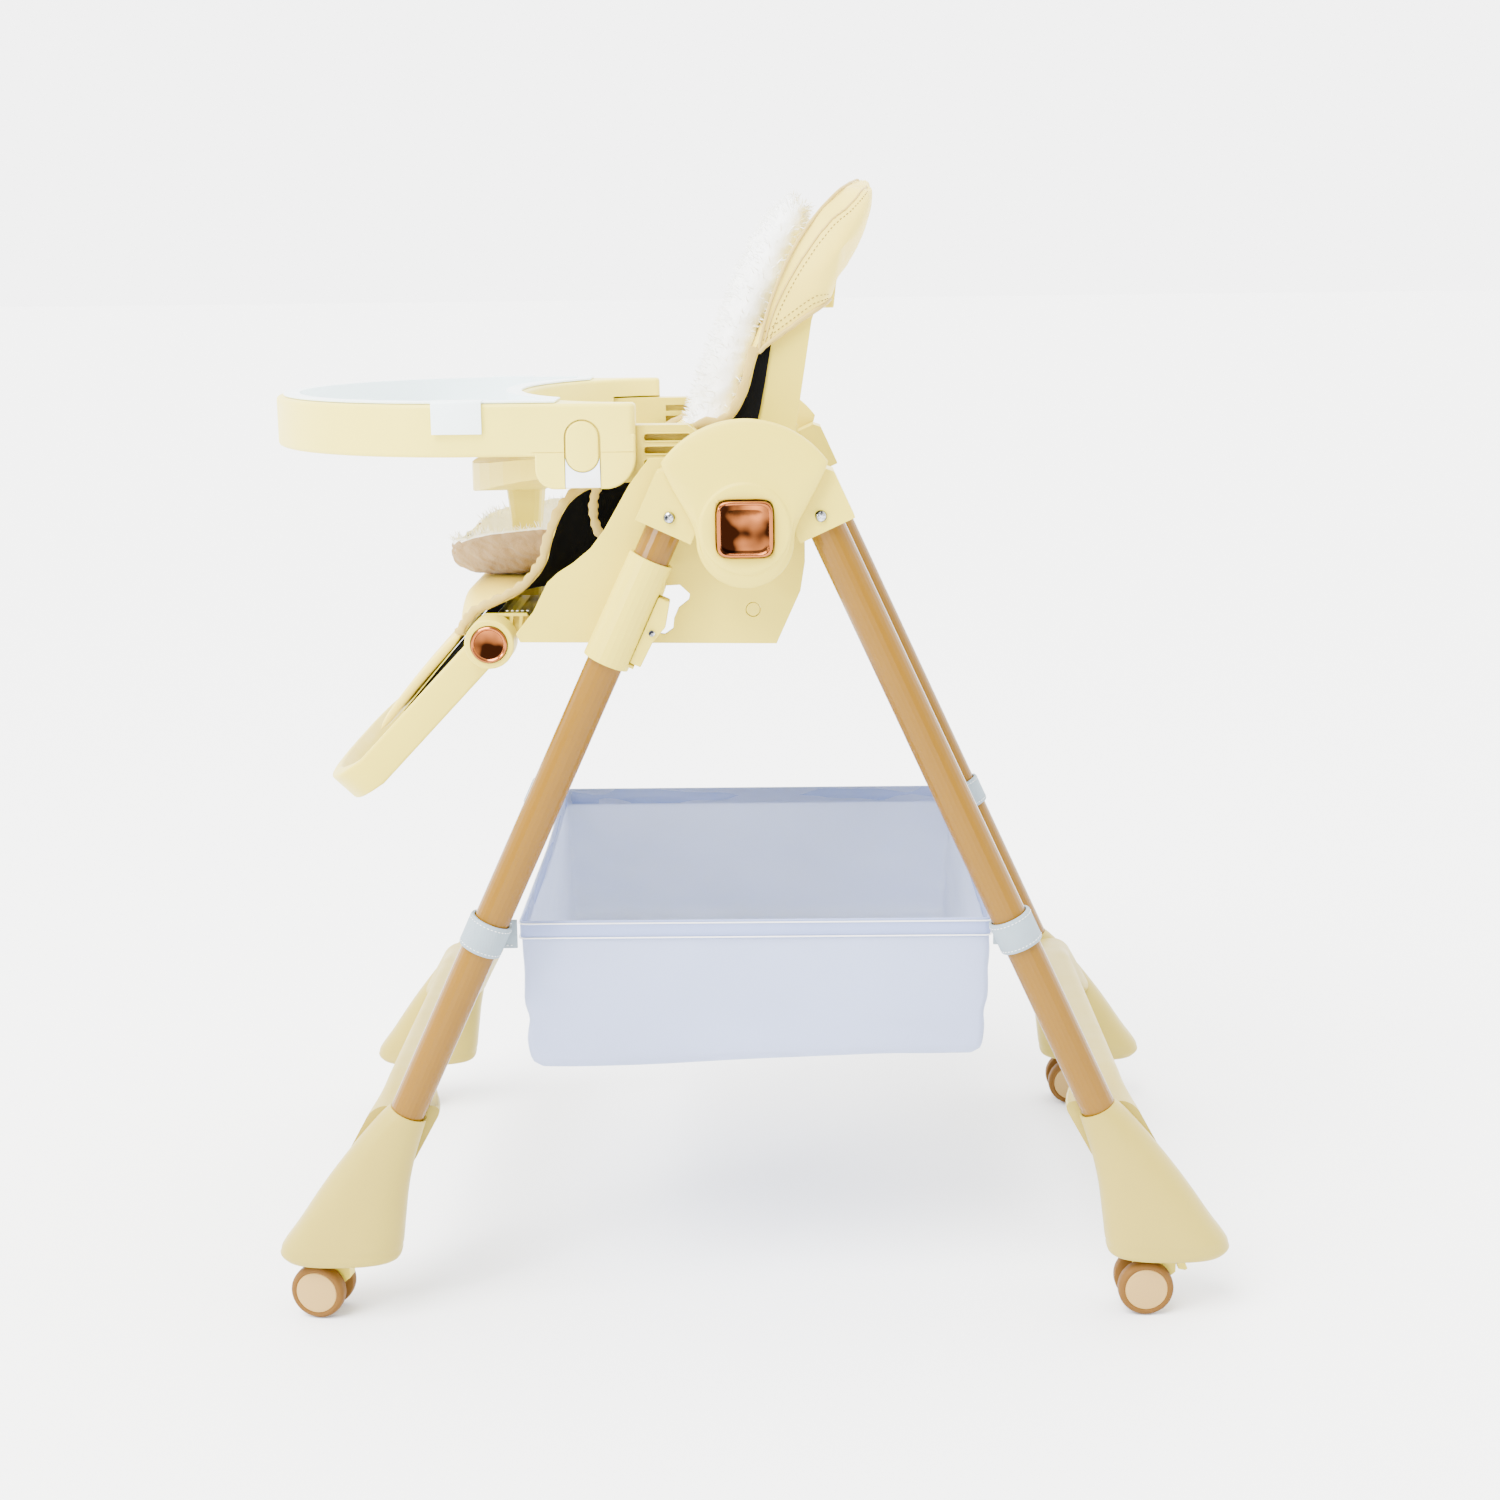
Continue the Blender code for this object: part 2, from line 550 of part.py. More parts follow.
def arm_frame():
    """Both armrests, the guard bow across the front and the crotch post, in one moulding."""
    arm = [(-0.1500, 0.7475), (-0.1500, 0.7965), (-0.0425, 0.7965), (-0.0325, 0.7885),
           (-0.0325, 0.7100), (-0.0840, 0.7100), (-0.0840, 0.7475)]
    slots = []
    for i in range(4):
        low = 0.7500 + 0.0110 * i
        slots.append(((-0.0800, low), (-0.0400, low + 0.0060)))
    pieces = []
    for side in (1, -1):
        inner, outer = sorted((side * 0.1905, side * 0.2145))
        plate = extrusion("arm", arm, inner, outer, CREAM)
        near, far = sorted((side * 0.2135, side * (PANEL_X - PANEL_WALL - GAP)))
        plate = join(plate, rod("boss", (near, -0.058, 0.7300), (far, -0.058, 0.7300), 0.010,
                                CREAM, 16))
        for (y_low, z_low), (y_high, z_high) in slots:
            plate = cut(plate, box("slot", (inner - 0.01, y_low, z_low),
                                   (outer + 0.01, y_high, z_high), CREAM))
        pieces.append(plate)
    bow_rings = []
    for x_angle in range(180, 361, 9):
        turn = radians(x_angle)
        share = min(1.0, 1.3 * cos(turn) ** 2)
        low, high = 0.7238 + 0.0242 * share, 0.7510 + 0.0145 * share
        outer = (0.2000 * cos(turn), GUARD_Y + 0.1500 * sin(turn))
        inner = (0.1720 * cos(turn), GUARD_Y + 0.0820 * sin(turn))
        bow_rings.append([Vector((*outer, low)), Vector((*outer, high)),
                          Vector((*inner, high)), Vector((*inner, low))])
    first, last = bow_rings[0], bow_rings[-1]
    for end, at in ((first, 0), (last, len(bow_rings) + 1)):
        bow_rings.insert(at, [v + Vector((0, 0.0120, 0)) for v in end])
    bow = loft("arm_frame", bow_rings, CREAM)
    y = -0.2060
    post_rings = []
    for z, reach, half in ((0.7300, 0.0175, 0.0240), (0.6830, 0.0130, 0.0190),
                           (0.6220, 0.0120, 0.0170)):
        plan = rounded_box(y - reach, y + reach, -half, half, 0.006, 2)
        post_rings.append([Vector((b, a, z)) for a, b in plan])
    post = loft("post", post_rings, CREAM)
    return join(bow, *pieces, post)


def seat_cover():
    """Leather sling: seat pad and two side wings, open to the back and the top."""
    outline = [(-0.1500, 0.7205), (-0.1700, 0.7040), (-0.1745, 0.6800), (-0.1845, 0.6640),
               (-0.2015, 0.6530), (-0.2285, 0.6390), (-0.2415, 0.6270), (-0.2420, 0.6220),
               (-0.0080, 0.6170), (-0.0080, 0.7050), (-0.0860, 0.7050), (-0.0900, 0.7205)]
    body = extrusion("seat_cover", outline, -0.1835, 0.1835, LEATHER)
    hollow = box("hollow", (-0.1680, -0.30, 0.6450), (0.1680, 0.10, 0.80), LEATHER)
    slot = box("slot", (-0.0280, -0.2270, 0.60), (0.0280, -0.1850, 0.80), LEATHER)
    return cut(body, hollow, slot)


def seat_liner():
    """Knit liner on the seat pad, rising into a soft roll at the front edge."""
    outline = [(-0.2415, 0.6455), (-0.2600, 0.6560), (-0.2690, 0.6720), (-0.2600, 0.6860),
               (-0.2400, 0.6940), (-0.2150, 0.6900), (-0.1800, 0.6740), (-0.1300, 0.6600),
               (-0.0600, 0.6560), (-0.0600, 0.6455)]
    body = extrusion("seat_liner", outline, -0.1500, 0.1500, KNIT)
    slot = box("slot", (-0.0280, -0.2270, 0.60), (0.0280, -0.1850, 0.80), KNIT)
    return cut(body, slot)


# ---------------------------------------------------------------- backrest
BACK_FRONT = [(-0.0040, 0.6560), (0.0023, 0.7200), (0.0165, 0.7930), (0.0295, 0.8600),
              (0.0350, 0.8850)]
BACK_REAR = [(0.0810, 0.9300), (0.0655, 0.8820), (0.0505, 0.7850), (0.0400, 0.7200),
             (0.0320, 0.6560)]


def backrest_frame():
    """Channel shaped back panel with two side rails that turn on the seat shell."""
    y, z = BACK_PIVOT
    ears = arc(y, z, 0.0180, 350, 190, 8)
    outline = BACK_FRONT + [(0.0500, 0.9300)] + BACK_REAR + ears
    body = extrusion("backrest_frame", outline, -0.1650, 0.1650, CREAM)
    rail = 0.012
    hollow_outline = [(-0.0400, 0.6000), (-0.0400, 0.9000), (0.0300, 0.9000), (0.0640, 0.9170),
                      (0.0605, 0.8820), (0.0455, 0.7850), (0.0350, 0.7200), (0.0270, 0.6600),
                      (0.0600, 0.6600), (0.0600, 0.6000)]
    hollow = extrusion("hollow", hollow_outline, -0.1650 + rail, 0.1650 - rail, CREAM)
    pin = rod("pin_left", (0.1600, y, z), (PANEL_X - 0.0005, y, z), 0.0060, CREAM, 16)
    pin_right = rod("pin_right", (-0.1600, y, z), (-PANEL_X + 0.0005, y, z), 0.0060, CREAM, 16)
    slot = box("slot", (-0.0260, 0.0300, 0.8880), (0.0260, 0.1000, 0.9175), CREAM)
    return cut(join(cut(body, hollow), pin, pin_right), slot)


def recline_handle():
    outline = [(0.0560, 0.8900), (0.0560, 0.9110), (0.0780, 0.9110), (0.0780, 0.9180),
               (0.0860, 0.9280), (0.0925, 0.9260), (0.0885, 0.8900)]
    return extrusion("recline_handle", outline, -0.0240, 0.0240, CREAM)


def backrest_cover():
    """Leather back pad with the padded headrest hood that caps the frame."""
    side = [(-0.0380, 0.6700), (-0.0290, 0.7200), (-0.0120, 0.7930), (0.0075, 0.8600),
            (0.0245, 0.8960), (0.0445, 0.9390), (0.0685, 0.9720), (0.0800, 0.9860),
            (0.0960, 0.9990), (0.1120, 1.0060), (0.1200, 1.0070), (0.1255, 0.9930),
            (0.1175, 0.9610), (0.1035, 0.9420), (0.0990, 0.9330), (0.0485, 0.9330)]
    side += [(y - 0.0010, z) for y, z in reversed(BACK_FRONT) if z > 0.67]
    side += [(-0.0040, 0.6700)]
    body = extrusion("backrest_cover", side, -0.1750, 0.1750, LEATHER)
    front = ([(-0.1620, 0.6500), (0.1620, 0.6500), (0.1620, 0.8400), (0.1745, 0.8600)]
             + arc(0, 0.9000, 0.1745, 10, 170, 14, 0.1080) + [(-0.1745, 0.8600), (-0.1620, 0.8400)])
    shape = extrusion("front_view", front, -0.10, 0.20, LEATHER, "Y")
    return boolean(body, shape, "INTERSECT")


def backrest_liner():
    outline = [(-0.0600, 0.6750), (-0.0530, 0.7200), (-0.0370, 0.7930), (-0.0125, 0.8630),
               (0.0065, 0.8990), (0.0255, 0.9610), (0.0430, 0.9880), (0.0560, 0.9880),
               (0.0660, 0.9720), (0.0420, 0.9385), (0.0220, 0.8955), (0.0050, 0.8600),
               (-0.0145, 0.7930), (-0.0315, 0.7200), (-0.0405, 0.6750)]
    return extrusion("backrest_liner", outline, -0.1300, 0.1300, KNIT)


# ---------------------------------------------------------------- footrest
def rest_point(along, above, x):
    """A point of the footrest, along its arms and above their middle line."""
    y, z = REST_PIVOT
    return Vector((x, y - along * sin(REST_ANGLE) - above * cos(REST_ANGLE),
                   z - along * cos(REST_ANGLE) + above * sin(REST_ANGLE)))


def footrest_frame():
    """U shaped bow with a hub at each end."""
    straight, deep, thick, tall, rise = 0.160, 0.048, 0.0065, 0.0145, 0.012
    square = 2 / 2.5            # exponent of the bow's rounded corners
    path = [(REST_X, 0.0), (REST_X, 0.08)]
    for x, v in arc(0, 0, 1.0, 0, 180, 28):
        across = REST_X * abs(x) ** square * (1 if x >= 0 else -1)
        path.append((across, straight + deep * abs(v) ** square))
    path += [(-REST_X, 0.08), (-REST_X, 0.0)]
    rings = []
    for i, (x, along) in enumerate(path):
        before = path[max(i - 1, 0)]
        after = path[min(i + 1, len(path) - 1)]
        run = Vector((after[0] - before[0], after[1] - before[1])).normalized()
        side = Vector((run.y, -run.x))
        lift = rise * max(0.0, (along - straight) / deep)
        ring = []
        for t, h in ((thick, tall - 0.003), (thick - 0.003, tall), (-thick + 0.003, tall),
                     (-thick, tall - 0.003), (-thick, -tall + 0.003), (-thick + 0.003, -tall),
                     (thick - 0.003, -tall), (thick, -tall + 0.003)):
            ring.append(rest_point(along + side.y * t, h + lift, x + side.x * t))
        rings.append(ring)
    body = loft("footrest_frame", rings, CREAM)
    y, z = REST_PIVOT
    for side in (1, -1):
        inner, outer = sorted((side * 0.1990, side * 0.2330))
        body = join(body, rod("hub", (inner, y, z), (outer, y, z), 0.0215, CREAM, 28))
        inner, outer = sorted((side * 0.2270, side * 0.2400))
        body = cut(body, rod("pocket", (inner, y, z), (outer, y, z), 0.0166, CREAM, 24))
    return body


def footrest_button():
    y, z = REST_PIVOT
    return rod("footrest_button_left", (0.2295, y, z), (0.2350, y, z), 0.0160, COPPER, 24)


def calf_pad():
    outline = []
    for along, above in ((0.045, -0.010), (0.045, 0.018), (0.054, 0.0215), (0.120, 0.0215),
                         (0.128, 0.016), (0.128, -0.010)):
        point = rest_point(along, above, 0)
        outline.append((point.y, point.z))
    return extrusion("calf_pad", outline, -0.1900, 0.1900, LEATHER)


# ---------------------------------------------------------------- tray
def tray_outline(inset, cut_out, steps=24):
    """Plan of the tray, (x, y): an elliptic front, straight sides and a cut-out for the child."""
    front = arc(0, TRAY_Y, TRAY_HALF - inset, 180, 360, steps, TRAY_DEEP - inset)
    rear = TRAY_REAR
    hollow = arc(0, CUT_Y, CUT_HALF + cut_out, 360, 180, steps, CUT_DEEP + cut_out)
    hollow = [(x, y) for x, y in hollow if y < rear - 0.004]
    return front + [(TRAY_HALF - inset, rear), (CUT_HALF - 0.001, rear)] + hollow \
        + [(-CUT_HALF + 0.001, rear), (-TRAY_HALF + inset, rear)]


def insert_outline(grow):
    """Plan of the lift-out insert, (x, y)."""
    half, deep = 0.2080 + grow, 0.1830 + grow
    rear = -0.1660 + grow
    front = arc(0, TRAY_Y, half, 180, 360, 24, deep)
    hollow = arc(0, CUT_Y, CUT_HALF + 0.013 - grow, 360, 180, 24, CUT_DEEP + 0.013 - grow)
    hollow = [(x, y) for x, y in hollow if y < rear - 0.003]
    edge = CUT_DEEP + 0.013 - grow
    reach = (CUT_HALF + 0.013 - grow) * sqrt(1 - ((rear - CUT_Y) / edge) ** 2)
    return front + [(half, rear), (reach, rear)] + hollow + [(-reach, rear), (-half, rear)]


BRACKET_Y = (-0.1735, -0.0870)


def tray():
    low, high = TRAY_Z
    body = extrusion("tray", tray_outline(0.0, 0.0), low, high, CREAM, "Z")
    pocket = extrusion("pocket", insert_outline(0.0008), low + 0.0065, high + 0.01, CREAM, "Z")
    body = cut(body, pocket)
    front, rear = BRACKET_Y
    for side in (1, -1):
        inner, outer = sorted((side * 0.1865, side * TRAY_HALF))
        side_view = [(front, low + 0.006), (front + 0.006, 0.7480), (front + 0.016, 0.7430),
                     (rear - 0.022, 0.7430), (rear, 0.7560), (rear, low + 0.006)]
        body = join(body, extrusion("bracket", side_view, inner, outer, CREAM))
        inner, outer = sorted((side * 0.1860, side * 0.2155))
        body = cut(body, box("channel", (inner, -0.1725, 0.7462), (outer, 0.0, 0.7982), CREAM))
        inner, outer = sorted((side * 0.2190, side * 0.2400))
        slot = rounded_box(-0.1482, -0.1168, 0.7430 + 0.0030, 0.8027, 0.0152, 4)
        body = cut(body, extrusion("button_pocket", slot, inner, outer, CREAM))
    return body


def tray_release():
    outline = rounded_box(-0.1475, -0.1175, 0.7468, 0.8020, 0.0146, 4)
    return extrusion("tray_release_left", outline, 0.2225, 0.2275, WHITE)


def tray_insert():
    low, high = TRAY_Z[0] + 0.0070, 0.8165
    body = extrusion("tray_insert", insert_outline(0.0), low, high, WHITE, "Z")
    dish = extrusion("dish", insert_outline(-0.0040), low + 0.0030, high + 0.01, WHITE, "Z")
    body = cut(body, dish)
    wall = TRAY_HALF
    for side in (1, -1):
        tab = [(side * x, z) for x, z in ((0.2060, 0.8163), (0.2060, 0.8190), (wall + 0.0032, 0.8190),
                                          (wall + 0.0032, 0.7910), (wall + 0.0004, 0.7910),
                                          (wall + 0.0004, 0.8163))]
        body = join(body, extrusion("tab", tab, -0.2610, -0.2180, WHITE, "Y"))
    return body


# ---------------------------------------------------------------- assembly
def build_legs():
    for leg, word, layer in ((FRONT, "front", HUB_INNER), (REAR, "rear", HUB_OUTER)):
        for make, kind in ((leg_tube, "leg_tube"), (foot, "foot"), (hub_screw, "hub_screw"),
                           (strap, "basket_strap")):
            left = make(leg, f"{word}_{kind}_left")
            mirror_piece(left, f"{word}_{kind}_right")
        socket = hub_socket(leg, f"{word}_hub_socket_left", layer)
        mirror_piece(socket, f"{word}_hub_socket_right")
        crossbar(leg, f"{word}_crossbar")
    for make in (hub_cover, fold_button, pivot_pin):
        left = make()
        mirror_piece(left, left.name.replace("left", "right"))


def build_casters():
    place_caster(FRONT, 1, FRONT_LEFT_YAW, "front_left")
    place_caster(FRONT, -1, 0.0, "front_right")
    place_caster(REAR, 1, 0.0, "rear_left")
    place_caster(REAR, -1, 0.0, "rear_right")


def build_seat():
    seat_shell()
    arm_frame()
    seat_cover()
    seat_liner()
    backrest_frame()
    recline_handle()
    backrest_cover()
    backrest_liner()
    footrest_frame()
    calf_pad()
    for make in (height_sleeve, height_lever, footrest_button):
        left = make()
        mirror_piece(left, left.name.replace("left", "right"))


def build_tray():
    tray()
    tray_insert()
    left = tray_release()
    mirror_piece(left, left.name.replace("left", "right"))


build_legs()
build_casters()
build_seat()
build_tray()
basket()
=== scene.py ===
"""Looks of the baby high chair: every visible surface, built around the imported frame."""
import random
from math import atan2, cos, pi, radians, sin, sqrt

import bpy
import bmesh
from mathutils import Matrix, Vector, noise
from mathutils.bvhtree import BVHTree


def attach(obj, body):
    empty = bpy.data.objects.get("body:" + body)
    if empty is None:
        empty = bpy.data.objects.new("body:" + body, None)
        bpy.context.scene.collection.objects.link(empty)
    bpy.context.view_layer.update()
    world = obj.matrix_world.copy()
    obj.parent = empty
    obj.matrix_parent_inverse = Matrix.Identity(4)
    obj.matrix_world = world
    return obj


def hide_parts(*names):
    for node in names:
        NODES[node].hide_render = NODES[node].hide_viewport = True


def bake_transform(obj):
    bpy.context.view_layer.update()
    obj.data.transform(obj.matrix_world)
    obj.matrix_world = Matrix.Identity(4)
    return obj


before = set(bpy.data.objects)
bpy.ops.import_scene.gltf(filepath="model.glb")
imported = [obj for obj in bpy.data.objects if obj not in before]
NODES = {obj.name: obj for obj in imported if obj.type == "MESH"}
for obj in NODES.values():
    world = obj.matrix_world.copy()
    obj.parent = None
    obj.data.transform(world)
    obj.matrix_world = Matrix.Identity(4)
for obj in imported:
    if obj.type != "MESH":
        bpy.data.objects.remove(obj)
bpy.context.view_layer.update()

# ---------------------------------------------------------------- driving dimensions, metres
HUB_Y, HUB_Z = 0.007, 0.716
LEG_ANGLE, LEG_X, LEG_OFFSET = radians(24.75), 0.262, 0.061
TUBE_R = 0.01575
CASTER_OUT, WHEEL_R, TRAIL = 0.373, 0.025, 0.020
FRONT_LEFT_YAW = radians(-10)
COVER_LOW = 0.2828
REST_Y, REST_Z, REST_ANGLE, REST_X = -0.2175, 0.610, radians(43.5), 0.2135
TRAY_Y, TRAY_HALF, TRAY_DEEP, TRAY_REAR = -0.2355, 0.225, 0.200, -0.087
TRAY_LOW, TRAY_HIGH = 0.771, 0.816
CUT_Y, CUT_HALF, CUT_DEEP = -0.085, 0.204, 0.118
SLEEVE_SCREW = (-0.0736, 0.6246)
SIM_FRAMES = 20
BASKET_FRONT, BASKET_REAR, BASKET_LOW, BASKET_HIGH, BASKET_HALF = -0.200, 0.222, 0.228, 0.360, 0.235


# ---------------------------------------------------------------- camera, floor and light
def build_camera():
    data = bpy.data.cameras.new("camera")
    data.lens = 54.17
    data.sensor_width = 36.0
    camera = bpy.data.objects.new("camera", data)
    bpy.context.scene.collection.objects.link(camera)
    pitch, yaw, roll = radians(12.167), radians(0.687), radians(-0.657)
    forward = Vector((-cos(yaw) * cos(pitch), -sin(yaw) * cos(pitch), -sin(pitch)))
    level = forward.cross(Vector((0, 0, 1))).normalized()
    upright = level.cross(forward)
    right = cos(roll) * level + sin(roll) * upright
    up = cos(roll) * upright - sin(roll) * level
    turn = Matrix((right, up, -forward)).transposed()
    camera.matrix_world = Matrix.Translation((2.1668, 0.0315, 0.9313)) @ turn.to_4x4()
    bpy.context.scene.camera = camera


def area_light(name, place, target, size, power, colour=(1, 1, 1)):
    data = bpy.data.lights.new(name, "AREA")
    data.size = size
    data.energy = power
    data.color = colour
    light = bpy.data.objects.new(name, data)
    light.location = place
    direction = Vector(target) - Vector(place)
    light.rotation_euler = direction.to_track_quat("-Z", "Y").to_euler()
    bpy.context.scene.collection.objects.link(light)


def build_studio():
    material = bpy.data.materials.new("pale_floor")
    material.use_nodes = True
    shader = material.node_tree.nodes["Principled BSDF"]
    shader.inputs["Base Color"].default_value = (0.90, 0.90, 0.895, 1)
    shader.inputs["Roughness"].default_value = 0.9
    bpy.ops.mesh.primitive_plane_add(size=120, location=(0, 0, -0.0005))
    floor = bpy.context.object
    floor.name = "studio_floor"
    floor.data.materials.append(material)
    world = bpy.data.worlds.new("studio")
    world.use_nodes = True
    world.node_tree.nodes["Background"].inputs["Color"].default_value = (1.0, 1.0, 1.0, 1)
    tree = world.node_tree
    tree.nodes["Background"].inputs["Strength"].default_value = 5.5
    direction = tree.nodes.new("ShaderNodeSeparateXYZ")
    tree.links.new(tree.nodes.new("ShaderNodeTexCoord").outputs["Generated"],
                   direction.inputs["Vector"])
    falloff = ramp(tree, direction.outputs["X"], (1.0, 1.0, 1.0), (0.20, 0.20, 0.20), 0.0, 0.6)
    tree.links.new(falloff, tree.nodes["Background"].inputs["Color"])
    bpy.context.scene.world = world
    data = bpy.data.lights.new("sun", "SUN")
    data.energy = 9.5
    data.angle = radians(40)
    sun = bpy.data.objects.new("sun", data)
    sun.rotation_euler = Vector((-0.55, 0.45, -1.0)).to_track_quat("-Z", "Y").to_euler()
    bpy.context.scene.collection.objects.link(sun)
    area_light("key", (2.2, -1.4, 2.6), (0, 0, 0.5), 1.6, 20)
    area_light("fill", (1.8, 2.0, 1.6), (0, 0, 0.5), 1.8, 8)
    area_light("strip", (1.9, -1.9, 1.3), (0, 0, 0.6), 0.35, 40)
    area_light("back", (-2.0, 0.3, 2.2), (0, 0, 0.6), 1.6, 10)


# ---------------------------------------------------------------- materials
def new_material(name):
    material = bpy.data.materials.new(name)
    material.use_nodes = True
    tree = material.node_tree
    return material, tree, tree.nodes["Principled BSDF"]


def coordinates(tree):
    node = tree.nodes.new("ShaderNodeTexCoord")
    return node.outputs["Object"]


def noise_node(tree, vector, scale, detail=3.0, roughness=0.5):
    node = tree.nodes.new("ShaderNodeTexNoise")
    node.inputs["Scale"].default_value = scale
    node.inputs["Detail"].default_value = detail
    node.inputs["Roughness"].default_value = roughness
    tree.links.new(vector, node.inputs["Vector"])
    return node.outputs["Fac"]


def ramp(tree, factor, low, high, start=0.3, end=0.7):
    node = tree.nodes.new("ShaderNodeValToRGB")
    node.color_ramp.elements[0].position = start
    node.color_ramp.elements[1].position = end
    node.color_ramp.elements[0].color = (*low, 1)
    node.color_ramp.elements[1].color = (*high, 1)
    tree.links.new(factor, node.inputs["Fac"])
    return node.outputs["Color"]


def bump(tree, shader, height, strength, distance):
    node = tree.nodes.new("ShaderNodeBump")
    node.inputs["Strength"].default_value = strength
    node.inputs["Distance"].default_value = distance
    tree.links.new(height, node.inputs["Height"])
    tree.links.new(node.outputs["Normal"], shader.inputs["Normal"])


def shade(colour, gain):
    return tuple(min(1.0, c * gain) for c in colour)


def moulded(name, colour, roughness=0.42, metallic=0.0, spread=0.03, grain=900.0, depth=0.00004,
            coat=0.0, specular=0.3):
    """Plastic, paint or plated metal: faint colour drift, uneven gloss and a fine moulded grain."""
    material, tree, shader = new_material(name)
    place = coordinates(tree)
    drift = noise_node(tree, place, 9.0)
    tree.links.new(ramp(tree, drift, shade(colour, 1 - spread), shade(colour, 1 + spread)),
                   shader.inputs["Base Color"])
    gloss = noise_node(tree, place, 35.0, 4.0)
    low, high = roughness * 0.88, roughness * 1.12
    tree.links.new(ramp(tree, gloss, (low,) * 3, (high,) * 3), shader.inputs["Roughness"])
    shader.inputs["Metallic"].default_value = metallic
    shader.inputs["Coat Weight"].default_value = coat
    shader.inputs["Specular IOR Level"].default_value = specular
    bump(tree, shader, noise_node(tree, place, grain, 2.0), 0.25, depth)
    return material


def painted_reflection_plate(name, dark, bright, scale):
    """Mirror plating with painted reflections: its base colour breaks into dark and bright streaks."""
    material, tree, shader = new_material(name)
    painted_reflections = noise_node(tree, coordinates(tree), scale, 2.0, 0.5)
    tree.links.new(ramp(tree, painted_reflections, dark, bright, 0.42, 0.66), shader.inputs["Base Color"])
    shader.inputs["Roughness"].default_value = 0.12
    shader.inputs["Metallic"].default_value = 1.0
    return material


def leather(name, colour):
    """Soft coated leather: pebbled grain over slow colour drift."""
    material, tree, shader = new_material(name)
    place = coordinates(tree)
    drift = noise_node(tree, place, 14.0)
    tree.links.new(ramp(tree, drift, shade(colour, 0.95), shade(colour, 1.04)),
                   shader.inputs["Base Color"])
    shader.inputs["Roughness"].default_value = 0.48
    shader.inputs["Specular IOR Level"].default_value = 0.2
    cells = tree.nodes.new("ShaderNodeTexVoronoi")
    cells.inputs["Scale"].default_value = 620.0
    tree.links.new(place, cells.inputs["Vector"])
    bump(tree, shader, cells.outputs["Distance"], 0.22, 0.00025)
    return material


def woven(name, colour, threads, spread=0.05, depth=0.00015, roughness=0.8, sheen=0.2, strength=0.5,
          specular=0.2, through=0.0):
    """Cloth of crossing threads, with the thread count per metre."""
    material, tree, shader = new_material(name)
    place = coordinates(tree)
    drift = noise_node(tree, place, 11.0, 4.0)
    tree.links.new(ramp(tree, drift, shade(colour, 1 - spread), shade(colour, 1 + spread)),
                   shader.inputs["Base Color"])
    shader.inputs["Roughness"].default_value = roughness
    shader.inputs["Sheen Weight"].default_value = sheen
    shader.inputs["Specular IOR Level"].default_value = specular
    waves = []
    for direction in ("X", "Y", "Z"):
        wave = tree.nodes.new("ShaderNodeTexWave")
        wave.bands_direction = direction
        wave.inputs["Scale"].default_value = threads / 6.283
        wave.inputs["Distortion"].default_value = 0.6
        tree.links.new(place, wave.inputs["Vector"])
        waves.append(wave.outputs["Fac"])
    total = waves[0]
    for other in waves[1:]:
        add = tree.nodes.new("ShaderNodeMath")
        add.operation = "ADD"
        tree.links.new(total, add.inputs[0])
        tree.links.new(other, add.inputs[1])
        total = add.outputs[0]
    bump(tree, shader, total, strength, depth)
    if through:
        thin = tree.nodes.new("ShaderNodeBsdfTranslucent")
        thin.inputs["Color"].default_value = (0.72, 0.75, 0.80, 1)
        mix = tree.nodes.new("ShaderNodeMixShader")
        mix.inputs["Fac"].default_value = through
        tree.links.new(shader.outputs["BSDF"], mix.inputs[1])
        tree.links.new(thin.outputs["BSDF"], mix.inputs[2])
        tree.links.new(mix.outputs["Shader"], tree.nodes["Material Output"].inputs["Surface"])
    return material


def knit(name, colour, cables=0.0):
    """Fluffy knit: soft noise at the scale of the yarn, over cables so many to the metre."""
    material, tree, shader = new_material(name)
    place = coordinates(tree)
    drift = noise_node(tree, place, 60.0, 5.0)
    tree.links.new(ramp(tree, drift, shade(colour, 0.93), shade(colour, 1.06)),
                   shader.inputs["Base Color"])
    shader.inputs["Roughness"].default_value = 0.95
    shader.inputs["Sheen Weight"].default_value = 0.15
    shader.inputs["Specular IOR Level"].default_value = 0.1
    shader.inputs["Sheen Roughness"].default_value = 0.5
    height = noise_node(tree, place, 420.0, 6.0, 0.7)
    if cables:
        wave = tree.nodes.new("ShaderNodeTexWave")
        wave.bands_direction = "DIAGONAL"
        wave.inputs["Scale"].default_value = cables
        wave.inputs["Distortion"].default_value = 5.0
        wave.inputs["Detail"].default_value = 3.0
        wave.inputs["Detail Scale"].default_value = 2.5
        tree.links.new(place, wave.inputs["Vector"])
        add = tree.nodes.new("ShaderNodeMath")
        add.operation = "ADD"
        tree.links.new(height, add.inputs[0])
        tree.links.new(wave.outputs["Fac"], add.inputs[1])
        height = add.outputs[0]
    bump(tree, shader, height, 0.7, 0.0012)
    return material


